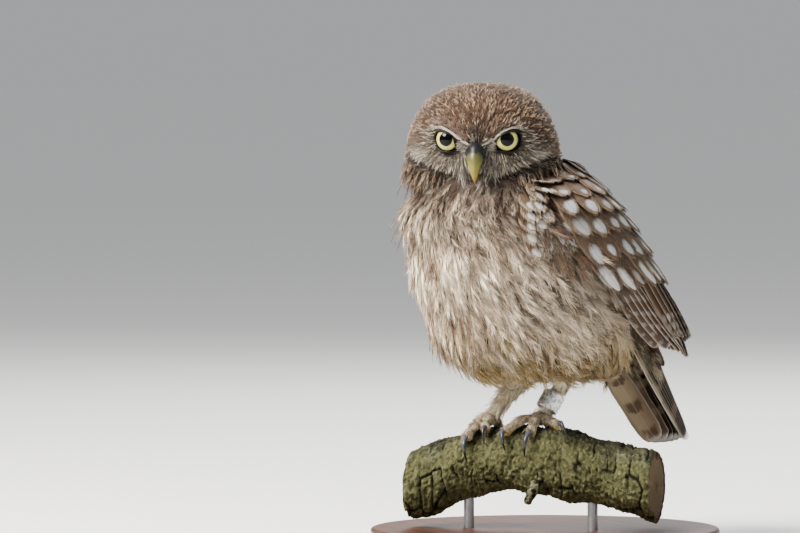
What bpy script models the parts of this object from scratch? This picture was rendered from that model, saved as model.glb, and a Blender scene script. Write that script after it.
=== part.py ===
"""A young little owl on a cut length of branch: a still, life-size display model.

Blender 4.5. The frame is +Z up, with the owl facing -Y and its left side at +X.
The origin is the middle of the round base's underside. Sizes and places below
are millimetres, and each mesh is written in metres.
"""

import math

import bmesh
import bpy
import numpy as np

MM = 0.001
GAP = 0.3
UP = np.array([0.0, 0.0, 1.0])

# Stand: a round wooden base and two steel rods under the perch
BASE_RADIUS = 82.0
BASE_SIDES = 48
BASE_THICKNESS = 7.0
BASE_ROUNDING = 1.6
ROD_RADIUS = 2.4
ROD_SOCKET = 3.5
ROD_PLACES = (-22.0, 38.0)

# Perch: its line over the ground, then rows of place along it, centre height and radius
PERCH_MIDDLE = np.array([0.0, -17.9, 0.0])
PERCH_ALONG = np.array([0.783, 0.622, 0.0])
PERCH_FRONT = np.array([0.622, -0.783, 0.0])
PERCH_ROWS = np.array(
    [
        [-50.0, 26.2, 16.6],
        [-39.0, 29.6, 17.0],
        [-29.0, 34.2, 16.0],
        [-15.0, 38.6, 15.3],
        [0.0, 39.8, 14.9],
        [15.0, 39.2, 15.8],
        [27.0, 37.4, 16.6],
        [46.0, 33.4, 14.9],
        [60.0, 30.4, 16.0],
        [69.0, 28.2, 16.8],
    ]
)
PERCH_LUMP = 0.55
TWIG_PLACE, TWIG_TURN, TWIG_RADIUS, TWIG_LENGTH = 16.0, 128.0, 3.2, 6.0

# Torso: rows of height, middle of the slice in y, half its depth and half its width
TORSO_ROWS = np.array(
    [
        [73.0, 5.0, 13.0, 7.0],
        [74.2, 4.0, 26.0, 14.0],
        [77.0, 2.0, 36.0, 21.5],
        [81.5, -1.0, 42.5, 28.0],
        [87.0, -3.5, 47.5, 32.5],
        [94.0, -6.0, 52.0, 36.5],
        [102.0, -8.5, 54.0, 40.0],
        [111.5, -10.5, 55.0, 42.5],
        [122.5, -14.0, 56.0, 44.0],
        [134.0, -18.0, 55.0, 45.0],
        [144.0, -20.5, 54.0, 45.0],
        [153.0, -24.5, 52.5, 44.0],
        [160.0, -28.0, 47.0, 41.0],
        [167.0, -30.5, 39.5, 36.5],
        [173.0, -32.0, 32.5, 31.5],
        [179.0, -33.0, 26.0, 27.0],
    ]
)
TORSO_SIDES = 28
NECK_FROM, NECK_TO = 167.0, 178.6

# Head: its middle, its turn to the owl's left, and rows of height, half width, depth to
# the front and depth to the back
HEAD_MIDDLE = np.array([0.0, -35.9, 0.0])
HEAD_TURN = math.radians(48.0)
HEAD_ROWS = np.array(
    [
        [161.5, 6.0, 8.0, 6.0],
        [163.0, 17.0, 17.0, 14.0],
        [167.0, 28.5, 24.0, 24.0],
        [172.0, 35.0, 27.6, 30.0],
        [178.0, 38.2, 29.4, 33.5],
        [184.0, 38.4, 29.8, 35.0],
        [190.0, 37.2, 30.0, 35.4],
        [196.0, 35.0, 29.6, 34.4],
        [202.0, 31.8, 27.6, 32.0],
        [207.0, 28.0, 24.0, 28.4],
        [211.0, 23.2, 18.6, 23.2],
        [213.8, 16.5, 12.4, 16.5],
        [215.2, 7.0, 5.0, 7.0],
    ]
)
HEAD_SLICES, HEAD_SIDES = 19, 34
EYE_SPREAD = 13.9
EYE_HEIGHT = 190.8
EYE_RADIUS = 7.2
EYE_DEPTH = 21.6
EYE_OUTWARD = math.radians(12.0)
EYE_BULGE = 0.7
EYE_SLICES, EYE_SIDES = 8, 14
LID_RADIUS = 5.9
LID_THICKNESS = 1.15
LID_STEPS, LID_SIDES = 14, 5
BROW_HEIGHT = 2.6


def along_rows(rows, at):
    """Rows read at fractional row numbers, on a Catmull-Rom curve through them."""
    at = np.clip(np.asarray(at, float), 0, len(rows) - 1)
    low = np.minimum(at.astype(int), len(rows) - 2)
    part = (at - low)[..., None]
    before = rows[np.maximum(low - 1, 0)]
    first, second = rows[low], rows[low + 1]
    after = rows[np.minimum(low + 2, len(rows) - 1)]
    return 0.5 * (
        2 * first
        + (second - before) * part
        + (2 * before - 5 * first + 4 * second - after) * part**2
        + (3 * first - before - 3 * second + after) * part**3
    )


def rows_at(rows, value):
    """The smooth rows where their first column, which only grows, has this value."""
    steps = np.linspace(0, len(rows) - 1, 40 * len(rows))
    return along_rows(rows, np.interp(value, along_rows(rows, steps)[:, 0], steps))


def unit(vectors):
    return vectors / np.linalg.norm(vectors, axis=-1, keepdims=True)


def material(name, colour, roughness, metallic=0.0):
    made = bpy.data.materials.new(name)
    made.use_nodes = True
    shader = made.node_tree.nodes["Principled BSDF"]
    shader.inputs["Base Color"].default_value = (*colour, 1.0)
    shader.inputs["Roughness"].default_value = roughness
    shader.inputs["Metallic"].default_value = metallic
    made.diffuse_color = (*colour, 1.0)
    return made


def mesh_object(name, points, faces, finish):
    """A mesh object whose points are given in millimetres."""
    mesh = bpy.data.meshes.new(name)
    mesh.from_pydata((np.asarray(points, float) * MM).tolist(), [], faces)
    obj = bpy.data.objects.new(name, mesh)
    mesh.materials.append(finish)
    bpy.context.scene.collection.objects.link(obj)
    turn_outwards(obj)
    return obj


def turn_outwards(obj):
    """Points every face of a closed mesh away from its inside."""
    mesh = bmesh.new()
    mesh.from_mesh(obj.data)
    bmesh.ops.remove_doubles(mesh, verts=mesh.verts, dist=0.00002)
    bmesh.ops.triangulate(mesh, faces=mesh.faces, quad_method="FIXED", ngon_method="EAR_CLIP")
    bmesh.ops.recalc_face_normals(mesh, faces=mesh.faces)
    if mesh.calc_volume(signed=True) < 0:
        bmesh.ops.reverse_faces(mesh, faces=mesh.faces)
    mesh.to_mesh(obj.data)
    mesh.free()


def ring_solid(name, rings, finish):
    """A closed solid over rings of equal count, with a middle point closing each end."""
    rings = np.asarray(rings, float)
    count, around = rings.shape[:2]
    points = np.vstack([rings.reshape(-1, 3), rings[0].mean(0), rings[-1].mean(0)])
    index = np.arange(count * around).reshape(count, around)
    turned = np.roll(index, -1, axis=1)
    sides = np.stack([index[:-1], turned[:-1], turned[1:], index[1:]], axis=-1).reshape(-1, 4)
    first, last = count * around, count * around + 1
    bottom = [(first, b, a) for a, b in zip(index[0], turned[0])]
    top = [(last, a, b) for a, b in zip(index[-1], turned[-1])]
    return mesh_object(name, points, sides.tolist() + bottom + top, finish)


def tube_rings(path, radii, around, flat=1.0, side=None):
    """Rings of the given radii about a path. flat squashes them across the side direction."""
    path, radii = np.asarray(path, float), np.asarray(radii, float)
    heading = unit(np.gradient(path, axis=0))
    side = np.broadcast_to(UP if side is None else side, path.shape)
    across = unit(np.cross(heading, side))
    over = np.cross(across, heading)
    turn = np.linspace(0, 2 * math.pi, around, endpoint=False)
    return (
        path[:, None]
        + radii[:, None, None] * np.cos(turn)[None, :, None] * across[:, None]
        + radii[:, None, None] * flat * np.sin(turn)[None, :, None] * over[:, None]
    )


def applied(obj):
    """Replaces an object's mesh by its evaluated one, and drops its modifiers."""
    graph = bpy.context.evaluated_depsgraph_get()
    made = bpy.data.meshes.new_from_object(obj.evaluated_get(graph))
    obj.modifiers.clear()
    obj.data = made
    return obj


def combine(obj, others, operation, solver="EXACT"):
    """One Boolean of an object with a collection of others, which it uses up."""
    group = bpy.data.collections.new("pieces")
    bpy.context.scene.collection.children.link(group)
    for other in others:
        group.objects.link(other)
    boolean = obj.modifiers.new("Boolean", "BOOLEAN")
    boolean.operation = operation
    boolean.solver = solver
    boolean.operand_type = "COLLECTION"
    boolean.collection = group
    applied(obj)
    for other in others:
        bpy.data.objects.remove(other)
    bpy.data.collections.remove(group)
    return largest_surface(obj)


def largest_surface(obj):
    """Keeps only the closed surface that holds the most, with no scrap or sealed hollow."""
    mesh = bmesh.new()
    mesh.from_mesh(obj.data)
    bmesh.ops.triangulate(mesh, faces=mesh.faces)
    unseen, pieces, held = set(mesh.faces), [], []
    while unseen:
        piece, reached = set(), [unseen.pop()]
        while reached:
            face = reached.pop()
            piece.add(face)
            for near in {n for edge in face.edges for n in edge.link_faces} & unseen:
                unseen.remove(near)
                reached.append(near)
        pieces.append(piece)
        corners = ([v.co for v in face.verts] for face in piece)
        held.append(sum(a.dot(b.cross(c)) for a, b, c in corners))
    kept = pieces[int(np.argmax(held))]
    bmesh.ops.delete(mesh, geom=[f for f in mesh.faces if f not in kept], context="FACES")
    mesh.to_mesh(obj.data)
    mesh.free()
    return obj


def swollen(obj, by=GAP):
    """A copy of an object grown by a gap along its normals, to cut its neighbours with."""
    copy = bpy.data.objects.new(obj.name + "_cutter", obj.data.copy())
    bpy.context.scene.collection.objects.link(copy)
    mesh = bmesh.new()
    mesh.from_mesh(copy.data)
    mesh.normal_update()
    for vertex in mesh.verts:
        vertex.co += vertex.normal * vertex.calc_shell_factor() * by * MM
    mesh.to_mesh(copy.data)
    mesh.free()
    return copy


def shade(obj, angle=math.radians(40)):
    obj.data.shade_smooth()
    obj.data.set_sharp_from_angle(angle=angle)
    return obj


# Torso and neck


def torso_rings(heights, around):
    """Level slices of the trunk: ellipses about each slice's own middle, front first."""
    rows = rows_at(TORSO_ROWS, np.asarray(heights))
    turn = np.linspace(0, 2 * math.pi, around, endpoint=False)
    level = rows[:, 0][:, None] * np.ones(around)
    return np.stack(
        [
            rows[:, 3][:, None] * np.sin(turn),
            rows[:, 1][:, None] - rows[:, 2][:, None] * np.cos(turn),
            level,
        ],
        axis=-1,
    )


def make_trunk(finish):
    heights = np.concatenate([TORSO_ROWS[:3, 0], np.linspace(80.0, NECK_FROM - GAP, 12)])
    torso = ring_solid("torso", torso_rings(heights, TORSO_SIDES), finish)
    above = np.linspace(NECK_FROM, NECK_TO, 3)
    neck = ring_solid("neck", torso_rings(above, TORSO_SIDES), finish)
    return torso, neck


# Head


def head_place(points):
    """Carries points from the head's own frame, front -Y and left +X, to the owl's."""
    cos, sin = math.cos(HEAD_TURN), math.sin(HEAD_TURN)
    turned = np.array([[cos, -sin, 0], [sin, cos, 0], [0, 0, 1]])
    return np.asarray(points, float) @ turned.T + HEAD_MIDDLE


def bump(distance, width):
    return np.exp(-((distance / width) ** 2))


def face_relief(x, z):
    """How far the face stands out, in the head's frame: brows, eye hollows, disc and cheeks."""
    side = np.abs(x)
    brow_line = 192.2 + 0.62 * side - 0.0085 * side**2
    brows = BROW_HEIGHT * bump(z - brow_line, 2.6) * bump(side - 13.0, 10.5)
    hollow = -3.2 * bump(np.hypot(side - EYE_SPREAD, (z - EYE_HEIGHT) * 1.1), 7.5)
    disc_edge = np.hypot(side / 33.5, (z - 188.5) / 19.0)
    rim = 1.1 * bump((disc_edge - 1.0) * 22.0, 2.6) * (z < 196.0)
    groove = -1.4 * bump((disc_edge - 1.16) * 22.0, 2.2) * (z < 188.0)
    bridge = 1.8 * bump(side, 4.5) * bump(z - 187.0, 7.0)
    return brows + hollow + rim + groove + bridge


def head_rings(count, around):
    """Level slices of the head, each two half ellipses, with the face's relief added."""
    rows = along_rows(HEAD_ROWS, np.linspace(0, len(HEAD_ROWS) - 1, count))
    turn = np.linspace(-math.pi, math.pi, around, endpoint=False)
    turn = turn - 0.32 * np.sin(turn)
    x = rows[:, 1][:, None] * np.sin(turn)
    depth = np.where(np.cos(turn) > 0, rows[:, 2][:, None], rows[:, 3][:, None])
    flatten = np.where(np.cos(turn) > 0, np.abs(np.cos(turn)) ** 0.82, np.abs(np.cos(turn)))
    y = -depth * flatten * np.sign(np.cos(turn))
    z = rows[:, 0][:, None] * np.ones(around)
    front = np.clip(np.cos(turn) * 2.2, 0, 1)
    return np.stack([x, y - face_relief(x, z) * front, z], axis=-1)


def eye_frame(side):
    """The middle of an eyeball and the way it looks, in the head's frame."""
    look = np.array([side * math.sin(EYE_OUTWARD), -math.cos(EYE_OUTWARD), 0.0])
    return np.array([side * EYE_SPREAD, -EYE_DEPTH, EYE_HEIGHT]), look


def make_lid(side, finish):
    """A rim round the opening of an eye, brought to points at its two corners."""
    middle, look = eye_frame(side)
    across = unit(np.cross(UP, look))
    turn = np.linspace(0, 2 * math.pi, LID_STEPS, endpoint=False)
    reach = LID_RADIUS + 0.7 * np.abs(np.cos(turn)) ** 4
    path = (
        middle
        + look * (EYE_RADIUS - 2.9)
        + np.outer(reach * np.cos(turn), across)
        + np.outer(0.9 * reach * np.sin(turn), UP)
    )
    heading = unit(np.roll(path, -1, axis=0) - np.roll(path, 1, axis=0))
    over = unit(np.cross(heading, look))
    small = np.linspace(0, 2 * math.pi, LID_SIDES, endpoint=False)
    rings = (
        path[:, None]
        + LID_THICKNESS * np.cos(small)[None, :, None] * over[:, None]
        + 1.6 * LID_THICKNESS * np.sin(small)[None, :, None] * look
    )
    index = np.arange(LID_STEPS * LID_SIDES).reshape(LID_STEPS, LID_SIDES)
    after, turned = np.roll(index, -1, axis=0), np.roll(index, -1, axis=1)
    beyond = np.roll(after, -1, axis=1)
    faces = np.stack([index, turned, beyond, after], axis=-1).reshape(-1, 4)
    return mesh_object("lid", head_place(rings.reshape(-1, 3)), faces.tolist(), finish)


def ball_rings(middle, look, radius, bulge, count, around):
    """Rings of a ball about its look axis, with its front drawn out by bulge."""
    polar = np.linspace(0.12, math.pi - 0.12, count)
    across = unit(np.cross(UP, look))
    over = np.cross(look, across)
    turn = np.linspace(0, 2 * math.pi, around, endpoint=False)
    ahead = radius * np.cos(polar) + bulge * bump(polar, 0.62)
    out = radius * np.sin(polar)
    return (
        middle
        + ahead[:, None, None] * look
        + out[:, None, None] * np.cos(turn)[None, :, None] * across
        + out[:, None, None] * np.sin(turn)[None, :, None] * over
    )


def make_eye(side, name, finish):
    middle, look = eye_frame(side)
    rings = ball_rings(middle, look, EYE_RADIUS, EYE_BULGE, EYE_SLICES, EYE_SIDES)
    return ring_solid(name, head_place(rings), finish)


BILL_PATH = np.array(
    [
        [0.0, -25.0, 184.8],
        [0.0, -29.5, 185.9],
        [0.0, -33.4, 184.7],
        [0.0, -35.9, 181.2],
        [0.0, -36.8, 176.8],
        [0.0, -36.3, 172.9],
        [0.0, -35.2, 170.2],
    ]
)
BILL_WIDTH = np.array([4.6, 4.9, 4.7, 3.9, 2.7, 1.4, 0.35])
BILL_DEPTH = np.array([5.4, 5.3, 4.6, 3.6, 2.5, 1.3, 0.35])
JAW_PATH = np.array(
    [
        [0.0, -24.0, 176.2],
        [0.0, -28.4, 175.8],
        [0.0, -31.2, 175.0],
        [0.0, -33.2, 173.8],
    ]
)
JAW_WIDTH = np.array([3.6, 3.4, 2.4, 0.9])
JAW_DEPTH = np.array([2.2, 2.0, 1.4, 0.6])
HORN_SIDES = 10
NOSTRIL_PLACE = np.array([4.5, -33.0, 186.6])
NOSTRIL_RADIUS = 1.35


def horn_rings(path, width, depth, samples, around):
    """Oval rings about a path in the head's mid-plane: width across, depth within it."""
    at = np.linspace(0, len(path) - 1, samples)
    middle = along_rows(path, at)
    wide = along_rows(width[:, None], at)
    deep = along_rows(depth[:, None], at)
    heading = unit(np.gradient(middle, axis=0))
    across = np.array([1.0, 0.0, 0.0])
    over = np.cross(across, heading)
    turn = np.linspace(0, 2 * math.pi, around, endpoint=False)
    return (
        middle[:, None]
        + (wide * np.cos(turn))[..., None] * across
        + (deep * np.sin(turn))[..., None] * over[:, None]
    )


def make_bill(horn):
    """The hooked upper bill with its cere and nostrils, and the short lower one beneath."""
    hook = horn_rings(BILL_PATH, BILL_WIDTH, BILL_DEPTH, 9, HORN_SIDES)
    jaw = horn_rings(JAW_PATH, JAW_WIDTH, JAW_DEPTH, 5, HORN_SIDES)
    upper = ring_solid("bill_upper", head_place(hook), horn)
    lower = ring_solid("bill_lower", head_place(jaw), horn)
    nostrils = []
    for side in (-1, 1):
        middle = NOSTRIL_PLACE * np.array([side, 1.0, 1.0])
        look = unit(np.array([side * 0.8, -0.6, 0.1]))
        rings = ball_rings(middle, look, NOSTRIL_RADIUS, 0.0, 5, 8)
        nostrils.append(ring_solid("nostril", head_place(rings), horn))
    combine(upper, nostrils, "DIFFERENCE")
    combine(lower, [swollen(upper)], "DIFFERENCE")
    return upper, lower


def make_head(down, iris, horn):
    head = ring_solid("head", head_place(head_rings(HEAD_SLICES, HEAD_SIDES)), down)
    lids = [make_lid(side, down) for side in (-1, 1)]
    combine(head, lids, "UNION")
    eyes = [make_eye(1, "eye_left", iris), make_eye(-1, "eye_right", iris)]
    upper, lower = make_bill(horn)
    combine(head, [swollen(o) for o in (*eyes, upper, lower)], "DIFFERENCE")
    return head, eyes, upper, lower


# Perch and stand


def perch_axis(place):
    rows = rows_at(PERCH_ROWS, np.asarray(place, float))
    return PERCH_MIDDLE + rows[..., :1] * PERCH_ALONG + rows[..., 1:2] * UP, rows[..., 2]


def perch_point(place, turn, lift=0.0):
    """A point over the bark: turn 0 is the top, and it grows down the front, in radians."""
    place, turn = np.broadcast_arrays(np.asarray(place, float), np.asarray(turn, float))
    middle, radius = perch_axis(place)
    lump = PERCH_LUMP * (
        np.sin(place * 0.29 + 2.0 * turn) + 0.7 * np.sin(place * 0.13 - 3.0 * turn + 1.0)
    )
    return middle + (radius + lump + lift)[..., None] * off_bark(turn)


def off_bark(turn):
    return np.cos(turn)[..., None] * UP + np.sin(turn)[..., None] * PERCH_FRONT


def make_perch(bark):
    places = np.linspace(PERCH_ROWS[0, 0], PERCH_ROWS[-1, 0], 17)
    turn = np.linspace(0, 2 * math.pi, 18, endpoint=False)
    perch = ring_solid("perch", perch_point(places[:, None], turn[None]), bark)
    angle = math.radians(TWIG_TURN)
    root = perch_point(TWIG_PLACE, angle, -4.0)
    tip = perch_point(TWIG_PLACE - 2.0, angle, TWIG_LENGTH)
    path = root + np.linspace(0, 1, 4)[:, None] * (tip - root)
    radii = TWIG_RADIUS * np.array([1.35, 1.1, 1.0, 0.85])
    rings = tube_rings(path, radii, 9, side=PERCH_ALONG)
    return combine(perch, [ring_solid("twig", rings, bark)], "UNION")


def make_stand(perch, wood, steel):
    """The round base with its softened upper edge, and the two rods sunk in it and the perch."""
    profile = [
        (BASE_RADIUS, 0.0),
        (BASE_RADIUS, BASE_THICKNESS - BASE_ROUNDING),
        (BASE_RADIUS - 0.3 * BASE_ROUNDING, BASE_THICKNESS - 0.3 * BASE_ROUNDING),
        (BASE_RADIUS - BASE_ROUNDING, BASE_THICKNESS),
    ]
    turn = np.linspace(0, 2 * math.pi, BASE_SIDES, endpoint=False)
    rings = [
        np.stack([r * np.cos(turn), r * np.sin(turn), np.full(BASE_SIDES, z)], axis=-1)
        for r, z in profile
    ]
    base = ring_solid("stand_base", rings, wood)
    rods = []
    for number, place in enumerate(ROD_PLACES, start=1):
        foot, radius = perch_axis(place)
        low = np.array([foot[0], foot[1], BASE_THICKNESS - ROD_SOCKET])
        high = np.array([foot[0], foot[1], foot[2] - radius + ROD_SOCKET])
        rings = tube_rings([low, high], [ROD_RADIUS] * 2, 12, side=PERCH_ALONG)
        rods.append(ring_solid(f"stand_rod_{number}", rings, steel))
    combine(base, [swollen(rod) for rod in rods], "DIFFERENCE")
    combine(perch, [swollen(rod) for rod in rods], "DIFFERENCE")
    return base, rods


# Legs, feet and claws

LEG = {
    "left": (np.array([9.6, -9.6, 58.6]), np.array([12.0, 4.6, 81.0])),
    "right": (np.array([-10.0, -25.4, 57.8]), np.array([-10.8, -5.4, 79.0])),
}
LEG_RADII = {
    "left": np.array([4.9, 4.2, 4.0, 4.3, 6.0]),
    "right": np.array([4.9, 4.3, 4.5, 5.3, 6.8]),
}
PALM_PLACE = {"left": 12.4, "right": -13.2}
# Each toe: where it ends along the perch and round it in degrees, its root and tip radius,
# and the same place for the tip of its claw
TOES = {
    "left": {
        "inner": (-2.0, 43.0, 2.5, 2.1, 0.0, 73.0),
        "middle": (11.0, 43.0, 2.6, 2.2, 9.4, 82.0),
        "outer": (24.0, 23.0, 2.4, 2.0, 29.5, 42.0),
        "back": (15.0, -58.0, 2.4, 2.0, 14.5, -98.0),
    },
    "right": {
        "inner": (-11.8, 30.0, 2.5, 2.1, -10.6, 60.0),
        "middle": (-19.4, 50.0, 2.6, 2.2, -18.4, 84.0),
        "outer": (-24.5, -34.0, 2.4, 2.0, -27.0, -70.0),
        "back": (-10.0, -60.0, 2.4, 2.0, -10.5, -100.0),
    },
}
PALM_SIZE = np.array([5.0, 4.6, 3.4])
PALM_SIDES = 10
PALM_LIFT = 3.9
CLAW_RADIUS = 1.35
BARK_CLEAR = 0.75


def toe_path(side, toe, samples):
    """Points from the palm over the bark to the toe's end, their radii and the way off the bark."""
    end_place, end_turn, root, tip = TOES[side][toe][:4]
    part = np.linspace(0.0, 1.0, samples)
    place = PALM_PLACE[side] + (end_place - PALM_PLACE[side]) * part
    turn = math.radians(end_turn) * part
    radii = root + (tip - root) * part
    knuckle = 1.1 * np.sin(math.pi * np.clip(part * 1.25, 0, 1)) ** 2
    return perch_point(place, turn, radii + BARK_CLEAR + knuckle), radii, off_bark(turn)


def claw_path(side, toe, samples):
    """Points from the toe's end, arched off the bark and down again to the claw's tip."""
    end_place, end_turn, _, tip, claw_place, claw_turn = TOES[side][toe]
    part = np.linspace(0.0, 1.0, samples)
    place = end_place + (claw_place - end_place) * part
    turn = np.radians(end_turn + (claw_turn - end_turn) * part)
    lift = (tip + 0.5) * (1 - part) + 2.3 * np.sin(math.pi * part) + 0.4
    radii = CLAW_RADIUS * (1 - part) ** 0.75 + 0.18
    return perch_point(place, turn, lift + BARK_CLEAR), radii, off_bark(turn)


def make_foot(side, skin):
    top = perch_point(PALM_PLACE[side], 0.0, PALM_LIFT)
    polar = np.linspace(0.3, math.pi - 0.3, 5)
    turn = np.linspace(0, 2 * math.pi, PALM_SIDES, endpoint=False)
    rings = top + PALM_SIZE * np.stack(
        [
            np.sin(polar)[:, None] * np.cos(turn),
            np.sin(polar)[:, None] * np.sin(turn),
            np.cos(polar)[:, None] * np.ones(PALM_SIDES),
        ],
        axis=-1,
    )
    foot = ring_solid(f"foot_{side}", rings[::-1], skin)
    toes = []
    for toe in TOES[side]:
        path, radii, out = toe_path(side, toe, 6)
        radii = radii * np.array([1.0, 1.02, 0.96, 1.05, 1.1, 0.82])
        toes.append(ring_solid("toe", tube_rings(path, radii, 7, side=out), skin))
    return combine(foot, toes, "UNION")


def make_claws(side, foot, horn):
    claws = []
    for toe in TOES[side]:
        path, radii, out = claw_path(side, toe, 6)
        rings = tube_rings(path, radii, 6, flat=1.15, side=out)
        claws.append(ring_solid(f"claw_{side}_{toe}", rings, horn))
        combine(claws[-1], [swollen(foot)], "DIFFERENCE")
    return claws


def make_leg(side, foot, torso, down):
    """The feathered shank, which goes up into the belly."""
    low, high = LEG[side]
    part = np.linspace(0, 1, 7)
    radii = along_rows(LEG_RADII[side][:, None], part * (len(LEG_RADII[side]) - 1))[:, 0]
    path = low + (high - low) * part[:, None]
    leg = ring_solid(f"leg_{side}", tube_rings(path, radii, 10, side=PERCH_ALONG), down)
    return combine(leg, [swollen(foot), swollen(torso)], "DIFFERENCE", "MANIFOLD")


RING_OUTER, RING_WALL, RING_LENGTH = 5.35, 0.65, 8.6
RING_PLACE = 0.36
RING_SEAM = math.radians(5.0)
RING_STEPS = 23


def make_ring(metal):
    """The bird ringer's band: a strip rolled round the left shank till its ends all but meet."""
    low, high = LEG["left"]
    axis = unit(high - low)
    middle = low + (high - low) * RING_PLACE
    across = unit(np.cross(axis, PERCH_ALONG))
    over = np.cross(axis, across)
    turn = np.linspace(RING_SEAM, 2 * math.pi - RING_SEAM, RING_STEPS)
    out = np.cos(turn)[:, None] * across + np.sin(turn)[:, None] * over
    half = axis * RING_LENGTH / 2
    inner = RING_OUTER - RING_WALL
    rings = np.stack(
        [
            middle + inner * out - half,
            middle + RING_OUTER * out - half,
            middle + RING_OUTER * out + half,
            middle + inner * out + half,
        ],
        axis=1,
    )
    index = np.arange(RING_STEPS * 4).reshape(RING_STEPS, 4)
    turned = np.roll(index, -1, axis=1)
    sides = np.stack([index[:-1], turned[:-1], turned[1:], index[1:]], axis=-1).reshape(-1, 4)
    faces = sides.tolist() + [index[0].tolist(), index[-1][::-1].tolist()]
    return mesh_object("leg_ring", rings.reshape(-1, 3), faces, metal)


# Wings: three guide lines each, from the shoulder to the tip

WING_LOWER = np.array(
    [
        [36.5, -33.0, 168.0],
        [44.5, -29.0, 160.0],
        [47.5, -16.0, 143.0],
        [46.5, -1.0, 124.5],
        [41.5, 15.5, 108.0],
        [35.0, 31.0, 97.0],
        [28.0, 48.0, 89.0],
        [20.0, 65.0, 86.5],
    ]
)
WING_CREST = np.array(
    [
        [31.0, -2.0, 175.5],
        [41.5, 6.0, 162.5],
        [43.5, 17.0, 149.0],
        [39.5, 32.0, 134.0],
        [34.0, 46.5, 118.0],
        [27.5, 58.0, 105.0],
        [22.0, 65.5, 95.0],
        [18.5, 68.5, 88.0],
    ]
)
WING_BACK = np.array(
    [
        [12.0, 4.0, 176.0],
        [10.0, 20.0, 165.0],
        [7.0, 33.5, 150.0],
        [5.0, 43.5, 133.0],
        [3.8, 52.5, 117.0],
        [3.8, 60.0, 104.0],
        [6.5, 65.5, 94.5],
        [13.5, 68.5, 88.5],
    ]
)
WING_THICK = np.array([9.0, 11.0, 12.0, 12.0, 10.0, 6.0, 4.0, 2.4])[:, None]


def wing_surface(s, t):
    """The folded left wing's outside: s runs from shoulder to tip, t from below to the back."""
    s, t = np.broadcast_arrays(np.asarray(s, float), np.asarray(t, float))
    at = s * (len(WING_LOWER) - 1)
    t = t[..., None]
    return (
        along_rows(WING_LOWER, at) * (1 - t) * (1 - 2 * t)
        + along_rows(WING_CREST, at) * 4 * t * (1 - t)
        + along_rows(WING_BACK, at) * t * (2 * t - 1)
    )


def wing_frame(s, t):
    """A point of the wing, straight on past either end, and the outward normal there."""
    step = 0.01
    held = np.clip(s, step, 0.97)
    ahead = (wing_surface(held + step, t) - wing_surface(held - step, t)) / (2 * step)
    over = wing_surface(held, np.add(t, step)) - wing_surface(held, np.subtract(t, step))
    point = wing_surface(held, t) + (np.asarray(s) - held)[..., None] * ahead
    return point, unit(np.cross(ahead, over))


def mirrored(points, side):
    return np.asarray(points, float) * (np.array([1, 1, 1]) if side == "left" else [-1, 1, 1])


# How wide a feather is along its length, with fewer steps for a short one
LONG_VANE = np.array([[0.0, 0.38], [0.3, 0.86], [0.70, 1.0], [0.92, 0.78], [1.0, 0.26]])
SHORT_VANE = np.array([[0.0, 0.45], [0.45, 0.97], [0.88, 0.85], [1.0, 0.28]])
VANE_OVER, VANE_UNDER = 0.42, 0.28
VANE_CLEAR = 1.15
STEEPEST_TILT = math.radians(32)


def vane_rings(outline, path, over, half, tilt, inner=None):
    """Four-cornered rings of one feather: its two edges, and a ridge above and below the shaft.

    tilt turns it about its shaft so that each feather of a row lies over its neighbour,
    and inner is the half width of the vane on the side that tilt puts below.
    """
    heading = unit(np.gradient(path, axis=0))
    across = unit(np.cross(over, heading))
    over = np.cross(heading, across)
    tilt = np.asarray(tilt)[..., None]
    across, over = (
        across * np.cos(tilt) - over * np.sin(tilt),
        over * np.cos(tilt) + across * np.sin(tilt),
    )
    share = outline[:, 1][:, None]
    thin = np.where(outline[:, :1] > 0.99, 0.5, 1.0)
    return np.stack(
        [
            path - half * share * across,
            path - VANE_UNDER * thin * over,
            path + (half if inner is None else inner) * share * across,
            path + VANE_OVER * thin * over,
        ],
        axis=1,
    )


# Each tier of a wing, from under to over: how many feathers, where the row's roots and tips
# lie on the wing's surface at its front and back ends as s and t, half a feather's width at
# those ends and how high its tips lie
WING_TIERS = {
    "primary": (6, (0.47, 0.05), (0.46, 0.34), (0.80, 0.06), (1.03, 0.50), (4.6, 5.4), -0.6),
    "secondary": (8, (0.42, 0.30), (0.40, 0.97), (0.80, 0.34), (0.92, 0.86), (5.4, 6.0), 1.6),
    "greater": (8, (0.29, 0.06), (0.31, 0.97), (0.46, 0.06), (0.55, 0.96), (5.2, 5.9), 1.6),
    "median": (7, (0.18, 0.07), (0.20, 0.97), (0.35, 0.06), (0.42, 0.96), (5.8, 6.4), 1.7),
    "lesser": (6, (0.08, 0.08), (0.10, 0.97), (0.25, 0.08), (0.31, 0.96), (6.2, 6.8), 1.7),
    "shoulder": (5, (0.0, 0.12), (0.0, 0.95), (0.15, 0.10), (0.20, 0.96), (6.6, 7.0), 1.6),
}
ROOT_SINK = 4.0
CORE_SINK = 2.2


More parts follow.
